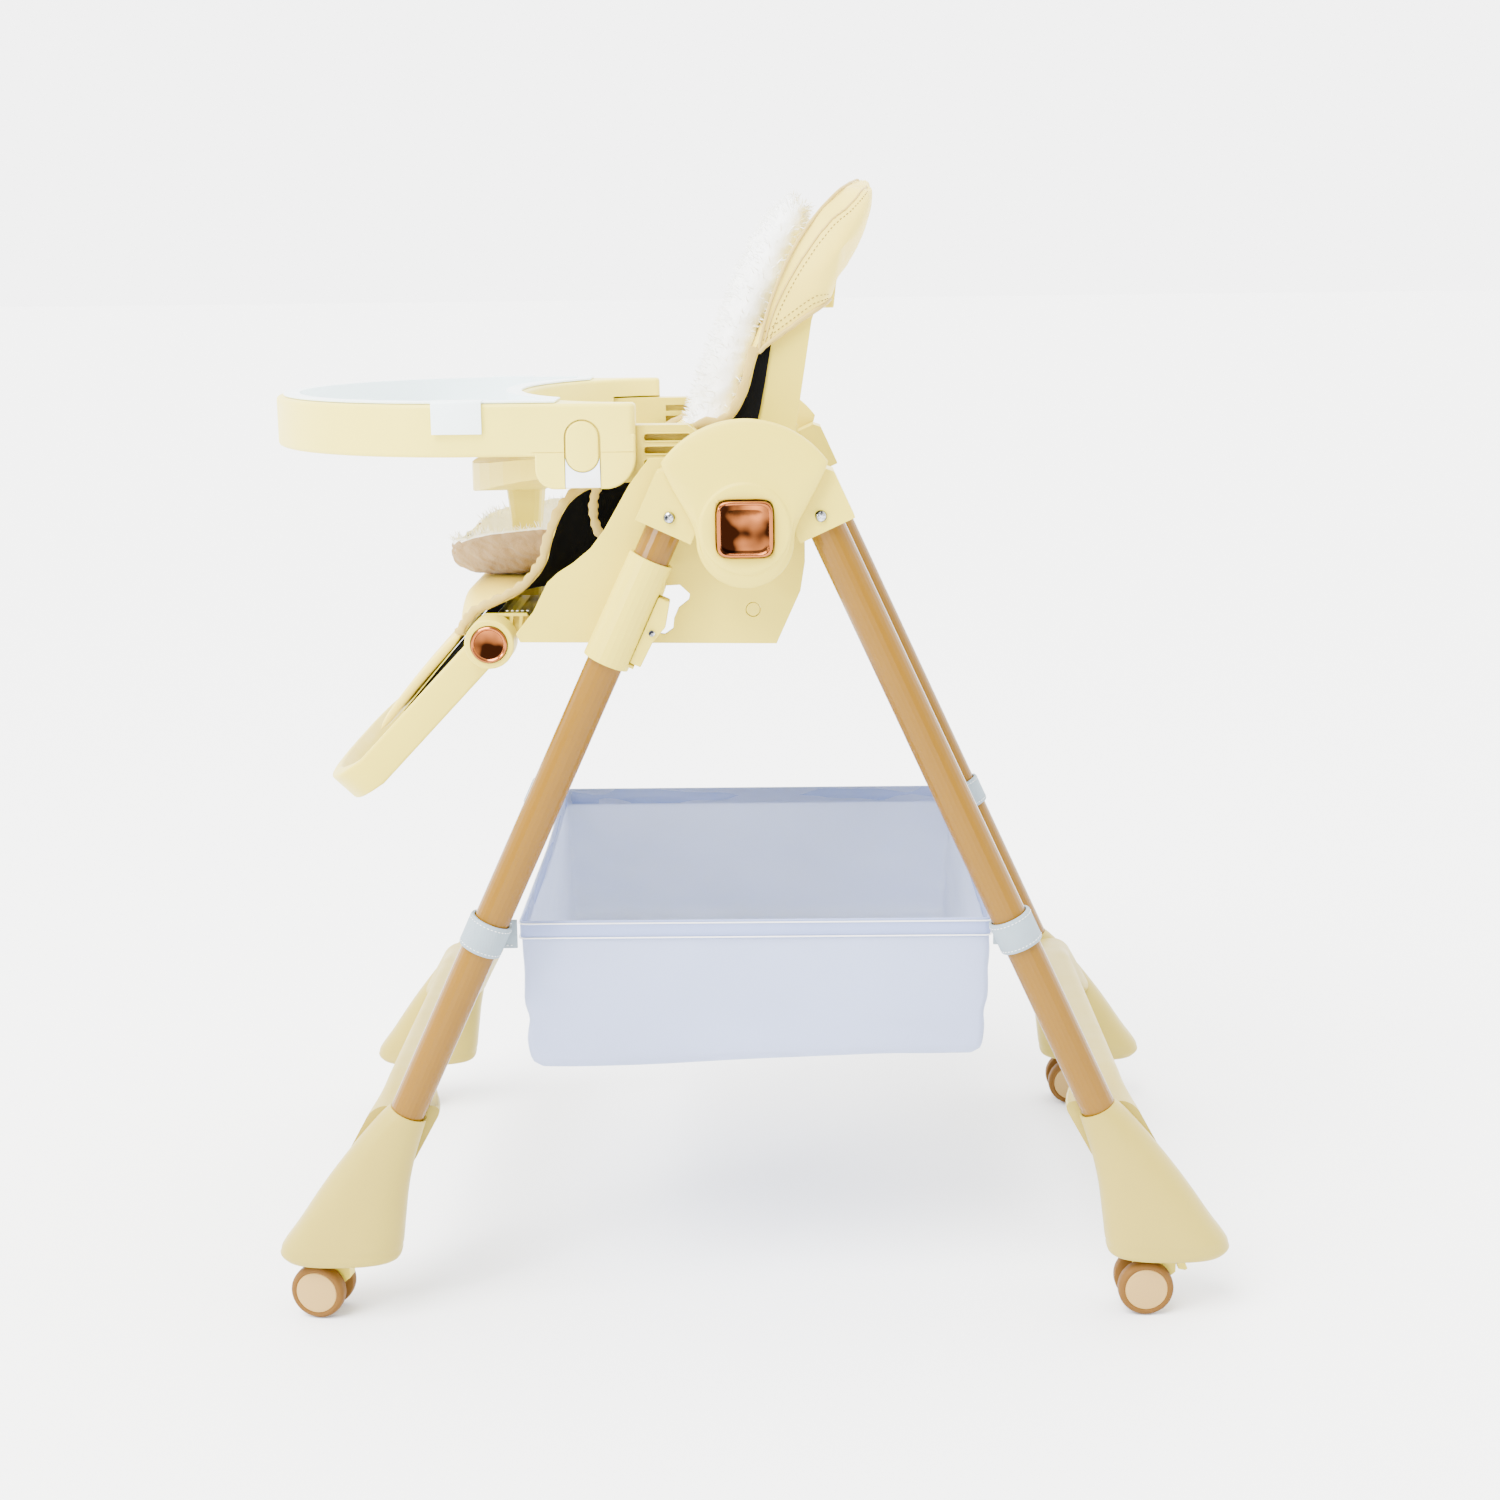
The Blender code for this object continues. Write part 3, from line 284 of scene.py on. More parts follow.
CREAM = moulded("cream_plastic", (0.66, 0.53, 0.050), 0.40)
# Painted light: a lighter copy of the cream plastic for the tray, whose top faces the light.
CREAM_LIT = moulded("cream_plastic_painted_light", (0.80, 0.67, 0.090), 0.38)
# Painted shade: a darker copy of the cream plastic for the low, under-lit feet and crossbars.
CREAM_SHADED = moulded("cream_plastic_painted_shade", (0.38, 0.29, 0.042), 0.42)
TAN = moulded("tan_tube_paint", (0.172, 0.080, 0.002), 0.22, grain=400, specular=0.22)
# Copper plating with painted reflections: near-black and copper streaks in its base colour.
COPPER = painted_reflection_plate("copper_plate", (0.012, 0.003, 0.001), (0.42, 0.13, 0.035), 30.0)
COPPER_RIM = moulded("copper_rim", (0.32, 0.10, 0.03), 0.16, 1.0, 0.05, 200, 0.00001)
WHITE = moulded("white_plastic", (0.84, 0.945, 0.96), 0.22)
LATCH_WHITE = moulded("latch_white", (0.84, 0.88, 0.96), 0.30)
# Chrome with painted reflections: dark and bright streaks in its base colour.
CHROME = painted_reflection_plate("chrome_steel", (0.02, 0.022, 0.025), (0.55, 0.56, 0.58), 160.0)
# Painted shade: a near-black colour for the insides of the nose slits, given to their cutters.
RECESS_SHADE = moulded("painted_recess_shade", (0.010, 0.008, 0.006), 0.6, specular=0.05)
LEATHER = leather("beige_leather", (0.76, 0.59, 0.095))
LEATHER_EDGE = leather("leather_binding", (0.50, 0.36, 0.090))
STITCH = moulded("stitch_thread", (0.20, 0.125, 0.030), 0.7, grain=2500)
STITCH_WHITE = moulded("stitch_thread_white", (0.80, 0.80, 0.80), 0.7, grain=2500)
LINING = woven("black_lining", (0.004, 0.004, 0.004), 2600, 0.2, sheen=0.0, specular=0.02)
NYLON = woven("basket_nylon", (0.46, 0.53, 0.78), 3800, 0.03, 0.00003, 0.55, 0.0, 0.3,
              through=0.4)
NYLON_HEM = woven("basket_hem", (0.26, 0.32, 0.56), 3000, 0.03, 0.00005, 0.6, 0.0, 0.4)
WEBBING = woven("strap_webbing", (0.25, 0.31, 0.35), 1500, 0.04, 0.0002, 0.75, 0.0)
FLEECE = knit("white_fleece", (0.95, 0.955, 0.93))
KNIT = knit("pink_knit", (0.33, 0.225, 0.115), 30.0)
TREAD = moulded("caster_tread", (0.135, 0.062, 0.012), 0.55, grain=500, specular=0.1)
CAP = moulded("caster_cap", (0.40, 0.25, 0.075), 0.35)


# ---------------------------------------------------------------- modelling helpers
def spline(points, count):
    """Catmull-Rom curve through points of any dimension, read at count even steps."""
    out = []
    last = len(points) - 1
    for i in range(count):
        t = i * last / (count - 1)
        k = min(int(t), last - 1)
        t -= k
        p0, p1 = points[max(k - 1, 0)], points[k]
        p2, p3 = points[k + 1], points[min(k + 2, last)]
        out.append(tuple(0.5 * (2 * b + (c - a) * t + (2 * a - 5 * b + 4 * c - d) * t * t
                                + (3 * b - a - 3 * c + d) * t ** 3)
                         for a, b, c, d in zip(p0, p1, p2, p3)))
    return out


def finish_mesh(shape, name, material, smooth=40, face_out=True):
    bmesh.ops.remove_doubles(shape, verts=shape.verts, dist=0.00001)
    if face_out:
        bmesh.ops.recalc_face_normals(shape, faces=shape.faces)
    mesh = bpy.data.meshes.new(name)
    shape.to_mesh(mesh)
    shape.free()
    mesh.shade_smooth()
    mesh.set_sharp_from_angle(angle=radians(smooth))
    for one in material if isinstance(material, (list, tuple)) else [material]:
        mesh.materials.append(one)
    piece = bpy.data.objects.new(name, mesh)
    bpy.context.scene.collection.objects.link(piece)
    return piece


def skin(name, rings, material, closed=True, caps=True, smooth=40):
    """A surface through rings of equally many points."""
    shape = bmesh.new()
    rows = [[shape.verts.new(point) for point in ring] for ring in rings]
    count = len(rows[0])
    for low, high in zip(rows, rows[1:]):
        for i in range(count if closed else count - 1):
            j = (i + 1) % count
            shape.faces.new((low[i], low[j], high[j], high[i]))
    if caps:
        shape.faces.new(reversed(rows[0]))
        shape.faces.new(rows[-1])
    return finish_mesh(shape, name, material, smooth)


def evaluated(source):
    bpy.context.view_layer.update()
    graph = bpy.context.evaluated_depsgraph_get()
    mesh = bpy.data.meshes.new_from_object(source.evaluated_get(graph))
    mesh.transform(source.matrix_world)
    return mesh


def applied(piece, smooth=40):
    """Bake a piece's modifiers into its mesh."""
    mesh = evaluated(piece)
    old = piece.data
    piece.modifiers.clear()
    piece.data = mesh
    piece.matrix_world = Matrix.Identity(4)
    bpy.data.meshes.remove(old)
    mesh.shade_smooth()
    mesh.set_sharp_from_angle(angle=radians(smooth))
    return piece


def swollen(piece, pressure, cap, pinned):
    """Padded cloth: the cover swells under pressure, held at its pinned points, none moving past cap."""
    seams = piece.vertex_groups.new(name="seams")
    seams.add([v.index for v in piece.data.vertices if pinned(v.co)], 1.0, "REPLACE")
    rest = [vertex.co.copy() for vertex in piece.data.vertices]
    cloth = piece.modifiers.new("cloth", "CLOTH")
    cloth.settings.use_pressure = True
    cloth.settings.vertex_group_mass = "seams"
    cloth.settings.uniform_pressure_force = pressure
    cloth.settings.effector_weights.gravity = 0
    cloth.point_cache.frame_start, cloth.point_cache.frame_end = 1, SIM_FRAMES
    scene = bpy.context.scene
    for step in range(1, SIM_FRAMES + 1):
        scene.frame_set(step)
    state = piece.evaluated_get(bpy.context.evaluated_depsgraph_get())
    moved = [vertex.co.copy() for vertex in state.data.vertices]
    piece.modifiers.remove(cloth)
    piece.vertex_groups.remove(seams)
    scene.frame_set(1)
    for vertex, start, end in zip(piece.data.vertices, rest, moved):
        move = end - start
        if move.length > cap:
            move *= cap / move.length
        vertex.co = start + move
    finer = piece.modifiers.new("finer", "SUBSURF")
    finer.levels = finer.render_levels = 1
    applied(piece, 180)


def laid_on(piece, points, proud):
    """The points moved onto the nearest place of the piece, proud of its surface."""
    tree = BVHTree.FromPolygons([v.co for v in piece.data.vertices],
                                [tuple(f.vertices) for f in piece.data.polygons])
    laid = []
    for point in points:
        place, normal = tree.find_nearest(point)[:2]
        laid.append(place + normal * proud)
    return laid


def extrusion(name, outline, low, high, material, axis="X", bevel=0.0, segments=3, limit=50):
    """A flat outline, (y, z) along X, (x, z) along Y or (x, y) along Z, with rounded rims."""
    shape = bmesh.new()
    if axis == "X":
        points = [Vector((low, a, b)) for a, b in outline]
        move = Vector((high - low, 0, 0))
    elif axis == "Y":
        points = [Vector((a, low, b)) for a, b in outline]
        move = Vector((0, high - low, 0))
    else:
        points = [Vector((a, b, low)) for a, b in outline]
        move = Vector((0, 0, high - low))
    first = [shape.verts.new(p) for p in points]
    second = [shape.verts.new(p + move) for p in points]
    shape.faces.new(first)
    shape.faces.new(reversed(second))
    for i in range(len(first)):
        j = (i + 1) % len(first)
        shape.faces.new((first[j], first[i], second[i], second[j]))
    if bevel:
        bmesh.ops.recalc_face_normals(shape, faces=shape.faces)
        rims = [e for e in shape.edges if e.is_manifold and e.calc_face_angle() > radians(limit)]
        bmesh.ops.bevel(shape, geom=rims, offset=bevel, segments=segments, profile=0.6,
                        affect="EDGES", clamp_overlap=True)
    return finish_mesh(shape, name, material)


def box(name, low, high, material, bevel=0.0, segments=3):
    outline = [(low[0], low[1]), (high[0], low[1]), (high[0], high[1]), (low[0], high[1])]
    return extrusion(name, outline, low[2], high[2], material, "Z", bevel, segments)


def rod(name, start, end, radius, material, sides=48, end_radius=None, bevel=0.0):
    start, end = Vector(start), Vector(end)
    span = end - start
    turn = span.to_track_quat("Z", "Y").to_matrix().to_4x4()
    shape = bmesh.new()
    bmesh.ops.create_cone(shape, cap_ends=True, segments=sides, radius1=radius,
                          radius2=radius if end_radius is None else end_radius, depth=span.length)
    if bevel:
        rims = [e for e in shape.edges if e.calc_face_angle(0) > radians(60)]
        bmesh.ops.bevel(shape, geom=rims, offset=bevel, segments=3, profile=0.6, affect="EDGES")
    bmesh.ops.transform(shape, verts=shape.verts,
                        matrix=Matrix.Translation((start + end) / 2) @ turn)
    return finish_mesh(shape, name, material)


def turned(name, profile, centre, material, steps=48, direction=(1, 0, 0)):
    """Turn (along, radius) points about an axis through centre."""
    axis = Vector(direction).normalized()
    side = axis.orthogonal().normalized()
    other = axis.cross(side)
    rings = []
    for along, radius in profile:
        ring = []
        for i in range(steps):
            angle = 2 * pi * i / steps
            spoke = side * cos(angle) + other * sin(angle)
            ring.append(Vector(centre) + axis * along + spoke * max(radius, 0.00002))
        rings.append(ring)
    return skin(name, rings, material)


def boolean(target, other, operation):
    change = target.modifiers.new("boolean", "BOOLEAN")
    change.operation = operation
    change.solver = "EXACT"
    change.object = other
    applied(target)
    bpy.data.objects.remove(other, do_unlink=True)
    return target


def cut(target, *others):
    for other in others:
        boolean(target, other, "DIFFERENCE")
    return target


def join(target, *others):
    for other in others:
        boolean(target, other, "UNION")
    return target


def combine(target, *others):
    """Put separate solids into one piece, each keeping its materials."""
    shape = bmesh.new()
    shape.from_mesh(target.data)
    for other in others:
        offset = len(target.data.materials)
        for material in other.data.materials:
            target.data.materials.append(material)
        before = len(shape.faces)
        shape.from_mesh(other.data)
        shape.faces.ensure_lookup_table()
        for face in shape.faces[before:]:
            face.material_index += offset
        bpy.data.objects.remove(other, do_unlink=True)
    shape.to_mesh(target.data)
    shape.free()
    return target


def mirror(left, name):
    mesh = left.data.copy()
    mesh.transform(Matrix.Scale(-1, 4, Vector((1, 0, 0))))
    mesh.flip_normals()
    piece = bpy.data.objects.new(name, mesh)
    bpy.context.scene.collection.objects.link(piece)
    return piece


def arc(a, b, radius, start, end, steps, radius_b=None):
    points = []
    for i in range(steps + 1):
        angle = radians(start + (end - start) * i / steps)
        points.append((a + radius * cos(angle), b + (radius_b or radius) * sin(angle)))
    return points


def rounded_box(a_low, a_high, b_low, b_high, radius, steps=6):
    points = []
    for a, b, turn in ((a_high, b_low, -90), (a_high, b_high, 0), (a_low, b_high, 90),
                       (a_low, b_low, 180)):
        inward_a = a - radius if a == a_high else a + radius
        inward_b = b - radius if b == b_high else b + radius
        points += arc(inward_a, inward_b, radius, turn, turn + 90, steps)
    return points


def sweep(name, path, section, material, up=Vector((0, 0, 1)), closed=False, caps=True, smooth=40):
    """Sweep a section of (side, up) points, or a function of the step, along a path."""
    rings = []
    last = len(path) - 1
    for i, point in enumerate(path):
        before = path[(i - 1) % len(path)] if closed else path[max(i - 1, 0)]
        after = path[(i + 1) % len(path)] if closed else path[min(i + 1, last)]
        run = (Vector(after) - Vector(before)).normalized()
        side = run.cross(up).normalized()
        top = side.cross(run)
        shape = section(i) if callable(section) else section
        rings.append([Vector(point) + side * a + top * b for a, b in shape])
    if closed:
        rings.append(rings[0])
    return skin(name, rings, material, caps=caps and not closed, smooth=smooth)


def oval(a, b, count, power=2.0):
    points = []
    for i in range(count):
        angle = 2 * pi * i / count
        c, s = cos(angle), sin(angle)
        points.append((a * abs(c) ** (2 / power) * (1 if c >= 0 else -1),
                       b * abs(s) ** (2 / power) * (1 if s >= 0 else -1)))
    return points


def place(piece, body, slot, *replaced):
    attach(piece, body)
    if replaced:
        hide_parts(*replaced)
    return piece


def polish(name, material, bevel=0.0012, segments=2, angle=38):
    """Give a CAD node its finish, with its edges rounded."""
    node = NODES[name]
    for i in range(max(1, len(node.material_slots))):
        if not node.material_slots:
            node.data.materials.append(material)
        node.material_slots[i].material = material
    if bevel:
        weld = node.modifiers.new("weld", "WELD")
        weld.merge_threshold = 0.00002
        edge = node.modifiers.new("edge", "BEVEL")
        edge.width = bevel
        edge.segments = segments
        edge.limit_method = "ANGLE"
        edge.angle_limit = radians(angle)
        edge.harden_normals = False
        normals = node.modifiers.new("normals", "WEIGHTED_NORMAL")
        normals.keep_sharp = True
    return node


class Leg:
    """Axis of a front (side = -1) or rear (side = +1) leg tube."""

    def __init__(self, side):
        self.side = side
        self.down = Vector((0, side * sin(LEG_ANGLE), -cos(LEG_ANGLE)))
        self.out = Vector((0, side * cos(LEG_ANGLE), sin(LEG_ANGLE)))
        self.top = Vector((LEG_X, HUB_Y, HUB_Z)) + self.out * LEG_OFFSET

    def at(self, along, out=0.0, x=0.0):
        return self.top + self.down * along + self.out * out + Vector((x, 0, 0))

    def flat(self, along, out=0.0):
        point = self.at(along, out)
        return (point.y, point.z)


FRONT, REAR = Leg(-1), Leg(1)
BODY_OF_LEG = {FRONT: "front_frame", REAR: "rear_frame"}


# ---------------------------------------------------------------- feet
FOOT_STATIONS = [
    # outer edge (out, z), inner edge (out, z), half width
    (0.4150, 0.0530, 0.3300, 0.0530, 0.0230),
    (0.4240, 0.0550, 0.3210, 0.0555, 0.0285),
    (0.4285, 0.0650, 0.3180, 0.0650, 0.0298),
    (0.4110, 0.0900, 0.3150, 0.0880, 0.0280),
    (0.3870, 0.1250, 0.3105, 0.1200, 0.0250),
    (0.3600, 0.1600, 0.3040, 0.1480, 0.0215),
    (0.3360, 0.1880, 0.2970, 0.1700, 0.0190),
    (0.3235, 0.1995, 0.2920, 0.1845, 0.0178),
]


def foot_ring(leg, station, sides=56, shrink=0.0):
    outer_out, outer_z, inner_out, inner_z, half = station
    middle_out, middle_z = (outer_out + inner_out) / 2, (outer_z + inner_z) / 2
    reach_out, reach_z = (outer_out - inner_out) / 2, (outer_z - inner_z) / 2
    keep = 1 - shrink / sqrt(reach_out ** 2 + reach_z ** 2)
    power = 2 / (2.0 + 0.6 * min(1.0, max(0.0, half - 0.0178) / 0.010))
    ring = []
    for i in range(sides):
        angle = 2 * pi * i / sides
        c, s = cos(angle), sin(angle)
        a = (abs(c) ** power) * (1 if c >= 0 else -1) * keep
        b = (abs(s) ** power) * (1 if s >= 0 else -1) * (half - shrink)
        ring.append(Vector((LEG_X + b, HUB_Y + leg.side * (middle_out + reach_out * a),
                            middle_z + reach_z * a)))
    return ring


def build_foot(leg, word):
    rings = [foot_ring(leg, FOOT_STATIONS[0], shrink=0.004), foot_ring(leg, FOOT_STATIONS[0])]
    stations = spline(FOOT_STATIONS, 44)
    for station in stations[1:-1]:
        seam = 0.0007 if 0.0630 < station[1] < 0.0655 else 0.0
        rings.append(foot_ring(leg, station, shrink=seam))
    mouth = FOOT_STATIONS[-1]
    rings += [foot_ring(leg, mouth, shrink=s) for s in (0.0, 0.0004, 0.0012)]
    start = (HUB_Z + sin(LEG_ANGLE) * LEG_OFFSET - (mouth[1] + mouth[3]) / 2) / cos(LEG_ANGLE)
    for along in (start + 0.0005, start + 0.012):
        rings.append([leg.at(along, a, b) for a, b in oval(TUBE_R + 0.0004, TUBE_R + 0.0004, 56)])
    # The feet take the darker copy of the cream plastic, painted shade for their under-lit place near
    # the floor.
    return skin(f"{word}_foot_shell_left", rings, CREAM_SHADED, smooth=50)


def build_feet():
    for leg, word in ((FRONT, "front"), (REAR, "rear")):
        left = build_foot(leg, word)
        right = mirror(left, f"{word}_foot_shell_right")
        body = BODY_OF_LEG[leg]
        place(left, body, "cream_plastic", f"{word}_foot_left")
        place(right, body, "cream_plastic", f"{word}_foot_right")


# ---------------------------------------------------------------- hub covers and buttons
def cover_outline():
    top = arc(0, 0.0046, 0.0855, 35, 145, 40)
    flank = spline([(-0.0700, 0.0536), (-0.0600, 0.0330), (-0.0500, 0.0145), (-0.0425, -0.0010),
                    (-0.0404, -0.0171)], 24)
    lobe = arc(0, -0.010, 0.0410, 190, 350, 48)
    return top + flank[1:-1] + lobe + [(-a, b) for a, b in reversed(flank[1:-1])]


def radius_at(outline, angle):
    """Distance from the centre to a star shaped outline, in the direction of angle."""
    c, s = cos(angle), sin(angle)
    best = 0.0
    for (a, b), (p, q) in zip(outline, outline[1:] + outline[:1]):
        low, high = a * s - b * c, p * s - q * c
        if low * high <= 0 and low != high:
            t = low / (low - high)
            along = (a + (p - a) * t) * c + (b + (q - b) * t) * s
            best = max(best, along)
    return best


def square_radius(angle, half, power=6.0):
    return half / (abs(cos(angle)) ** power + abs(sin(angle)) ** power) ** (1 / power)


def hub_ring(x, radii):
    count = len(radii)
    return [Vector((x, HUB_Y + r * cos(2 * pi * i / count), HUB_Z + r * sin(2 * pi * i / count)))
            for i, r in enumerate(radii)]


def build_hub_cover():
    count = 160
    angles = [2 * pi * i / count for i in range(count)]
    outline = cover_outline()
    edge = [radius_at(outline, a) for a in angles]
    boss = 0.0392

    def mixed(inset, share):
        return [(1 - share) * (r - inset) + share * min(boss, r - inset) for r in edge]

    rings = [hub_ring(COVER_LOW, mixed(0.0010, 0)), hub_ring(COVER_LOW + 0.0004, mixed(0.0002, 0)),
             hub_ring(0.2890, mixed(0, 0)), hub_ring(0.2904, mixed(0.0002, 0)),
             hub_ring(0.2918, mixed(0.0011, 0)), hub_ring(0.2928, mixed(0.0026, 0))]
    for share, x in ((0.18, 0.2941), (0.40, 0.2954), (0.62, 0.2963), (0.82, 0.2968)):
        rings.append(hub_ring(x, mixed(0.0028, share)))
    for radius, x in ((0.0392, 0.2969), (0.0386, 0.2972), (0.0380, 0.2982), (0.0372, 0.2991),
                      (0.0358, 0.2995), (0.0320, 0.2995)):
        rings.append(hub_ring(x, [min(radius, r - 0.0026) for r in edge]))
    for half, x in ((0.0254, 0.2993), (0.0248, 0.2990), (0.0244, 0.2982), (0.0242, 0.2960),
                    (0.0242, 0.2866)):
        rings.append(hub_ring(x, [square_radius(a, half) for a in angles]))
    left = skin("hub_shell_left", rings, CREAM, smooth=60)
    right = mirror(left, "hub_shell_right")
    place(left, "front_frame", "cream_plastic", "hub_cover_left")
    place(right, "front_frame", "cream_plastic", "hub_cover_right")


def build_fold_buttons():
    angles = [2 * pi * i / 96 for i in range(96)]
    steps = ((0.0228, 0.2914), (0.0234, 0.2920), (0.0234, 0.3030), (0.0231, 0.3042),
             (0.0224, 0.3049), (0.0214, 0.3050), (0.0205, 0.3046), (0.0200, 0.3036),
             (0.0196, 0.3033), (0.0160, 0.3037), (0.0100, 0.3040), (0.0040, 0.3041))
    rings = [hub_ring(x, [square_radius(a, half) for a in angles]) for half, x in steps]
    left = skin("fold_key_left", rings, [COPPER, COPPER_RIM], smooth=50)
    for face in left.data.polygons:
        middle = face.center
        reach = max(abs(middle.y - HUB_Y), abs(middle.z - HUB_Z))
        diagonal = sqrt((middle.y - HUB_Y) ** 2 + (middle.z - HUB_Z) ** 2)
        if max(reach, diagonal / 1.33) > 0.0200:
            face.material_index = 1
    right = mirror(left, "fold_key_right")
    place(left, "fold_button_left", "copper_plate", "fold_button_left")
    place(right, "fold_button_right", "copper_plate", "fold_button_right")


def build_screws():
    """Dome heads with a cross recess."""
    profile = [(-0.0024, 0.0), (-0.0024, 0.0019), (0.0003, 0.0019), (0.0003, 0.0050),
               (0.0010, 0.0051), (0.0024, 0.0046), (0.0034, 0.0034), (0.0040, 0.0016), (0.0041, 0)]
    for leg, word in ((FRONT, "front"), (REAR, "rear")):
        head = leg.at(0.019, 0, 0.0202)
        left = turned(f"{word}_screw_head_left", profile, head, CHROME, 32)
        for slant in (35, 125):
            turn = Matrix.Translation(head) @ Matrix.Rotation(radians(slant), 4, "X")
            slot_cut = box("slot_cut", (0.0024, -0.0026, -0.0005), (0.01, 0.0026, 0.0005), CHROME)
            slot_cut.data.transform(turn)
            cut(left, slot_cut)
        right = mirror(left, f"{word}_screw_head_right")
        place(left, BODY_OF_LEG[leg], "chrome_screw", f"{word}_hub_screw_left")
        place(right, BODY_OF_LEG[leg], "chrome_screw", f"{word}_hub_screw_right")


# ---------------------------------------------------------------- casters
def build_caster(leg, side, yaw, key):
    centre = Vector((side * LEG_X, HUB_Y + leg.side * CASTER_OUT, 0))
    turn = Matrix.Translation(centre) @ Matrix.Rotation(yaw, 4, "Z")
    hub = Vector((0, -TRAIL, WHEEL_R))
    tread = [(0.0170, 0.0150), (0.0196, 0.0196), (0.0200, 0.0215), (0.0190, 0.0236),
             (0.0172, 0.0247), (0.0150, WHEEL_R), (0.0106, WHEEL_R), (0.0086, 0.0245),
             (0.0077, 0.0232), (0.0076, 0.0150), (0.0076, 0.0028), (-0.0076, 0.0028),
             (-0.0076, 0.0150), (-0.0077, 0.0232), (-0.0086, 0.0245), (-0.0106, WHEEL_R),
             (-0.0150, WHEEL_R), (-0.0172, 0.0247), (-0.0190, 0.0236), (-0.0200, 0.0215),
             (-0.0196, 0.0196), (-0.0170, 0.0150)]
    wheels = turned("caster_wheels", tread, hub, TREAD, 56)
    caps = []
    for way in (1, -1):
        profile = [(0.0168, 0.0), (0.0168, 0.0188), (0.0190, 0.0192), (0.0199, 0.0184),
                   (0.0204, 0.0150), (0.0205, 0.0)]
        profile = [(way * along, radius) for along, radius in profile]
        caps.append(turned("cap", profile, hub, CAP, 56))
    piece = combine(wheels, *caps)
    piece.name = f"twin_wheels_{key}"
    piece.data.transform(turn)
    place(piece, f"wheels_{key}", "caster_tread", f"caster_wheels_{key}")
    polish(f"caster_fork_{key}", CREAM, 0.0012, 3)
    if leg is REAR:
        polish(f"brake_lever_{key}", CREAM, 0.0010, 3)


def build_casters():
    build_caster(FRONT, 1, FRONT_LEFT_YAW, "front_left")
    build_caster(FRONT, -1, 0.0, "front_right")
    build_caster(REAR, 1, 0.0, "rear_left")
    build_caster(REAR, -1, 0.0, "rear_right")


# ---------------------------------------------------------------- tray and insert
def tray_plan(inset=0.0):
    front = arc(0, TRAY_Y, TRAY_HALF - inset, 180, 360, 120, TRAY_DEEP - inset)
    rear = TRAY_REAR - inset
    soft = 0.006
    corner = arc(TRAY_HALF - inset - soft, rear - soft, soft, 0, 90, 6)
    hollow = arc(0, CUT_Y, CUT_HALF + inset, 360, 180, 120, CUT_DEEP + inset)
    hollow = [(x, y) for x, y in hollow if y < rear - 0.003]
    tip = (hollow[0][0] + 0.0008, rear)
    return front + corner + [tip] + hollow + [(-tip[0], rear)] + [(-x, y) for x, y in reversed(corner)]


def insert_plan(grow, rear_grow=None):
    back = grow if rear_grow is None else rear_grow
    half, deep, rear = 0.2080 + grow, 0.1830 + grow, -0.1660 + back
    front = arc(0, TRAY_Y, half, 180, 360, 120, deep)
    edge_half, edge_deep = CUT_HALF + 0.013 - back, CUT_DEEP + 0.013 - back
    hollow = arc(0, CUT_Y, edge_half, 360, 180, 120, edge_deep)
    hollow = [(x, y) for x, y in hollow if y < rear - 0.002]
    reach = edge_half * sqrt(1 - ((rear - CUT_Y) / edge_deep) ** 2)
    return front + [(half, rear), (reach, rear)] + hollow + [(-reach, rear), (-half, rear)]


def build_tray():
    # The tray is built of the lighter copy of the cream plastic, painted light.
    body = extrusion("tray_body", tray_plan(), TRAY_LOW, TRAY_HIGH, CREAM_LIT, "Z", 0.0045, 4)
    pocket = extrusion("pocket", insert_plan(0.0008), TRAY_LOW + 0.0065, 0.83, CREAM_LIT, "Z")
    cut(body, pocket)
    for side in (1, -1):
        low, high = sorted((side * 0.1865, side * TRAY_HALF))
        view = ([(-0.1735, 0.7730)] + arc(-0.1565, 0.7600, 0.0170, 180, 270, 8)
                + arc(-0.1130, 0.7690, 0.0260, 270, 360, 10) + [(-0.0870, 0.7900)]
                + [(-0.1735, 0.7900)])
        bracket = extrusion("bracket", view, low, high, CREAM_LIT, "X", 0.0022, 3)
        join(body, bracket)
        low, high = sorted((side * 0.1860, side * 0.2155))
        cut(body, box("channel", (low, -0.1725, 0.7462), (high, 0.02, 0.7982), CREAM_LIT))
        low, high = sorted((side * 0.2160, side * 0.2400))
        slot = rounded_box(-0.1482, -0.1168, 0.7300, 0.8027, 0.0156, 10)
        cut(body, extrusion("key_pocket", slot, low, high, CREAM_LIT))
        low, high = sorted((side * 0.2240, side * 0.2400))
        for y_low, y_high in ((-0.1760, -0.1482), (-0.1168, -0.0800)):
            cut(body, box("split", (low, y_low, 0.7744), (high, y_high, 0.7750), CREAM_LIT))
    place(body, "tray", "cream_plastic", "tray")
    for side, word in ((1, "left"), (-1, "right")):
        build_tray_key(side, word)


def build_tray_key(side, word):
    """Stadium shaped release key with a white latch under it."""
    low, high = sorted((side * 0.2205, side * 0.2262))
    # The key takes the lighter copy of the cream plastic, painted light.
    key = extrusion("key", rounded_box(-0.1465, -0.1185, 0.7580, 0.8012, 0.0139, 12), low, high,
                    CREAM_LIT, "X", 0.0016, 3)
    low, high = sorted((side * 0.2200, side * 0.2258))
    lower = [(-0.1475, 0.7445), (-0.1175, 0.7445), (-0.1178, 0.7690)]
    lower += arc(-0.1325, 0.7722, 0.0150, -10, -170, 16) + [(-0.1472, 0.7690)]
    latch = extrusion("latch", lower, low, high, LATCH_WHITE, "X", 0.0006, 2)
    low, high = sorted((side * 0.2195, side * 0.2218))
    back = extrusion("back", rounded_box(-0.1478, -0.1172, 0.7450, 0.8022, 0.0150, 12), low, high,
                     CREAM_LIT)
    piece = combine(key, latch, back)
    piece.name = f"tray_key_{word}"
    place(piece, f"tray_release_{word}", "white_plastic", f"tray_release_{word}")


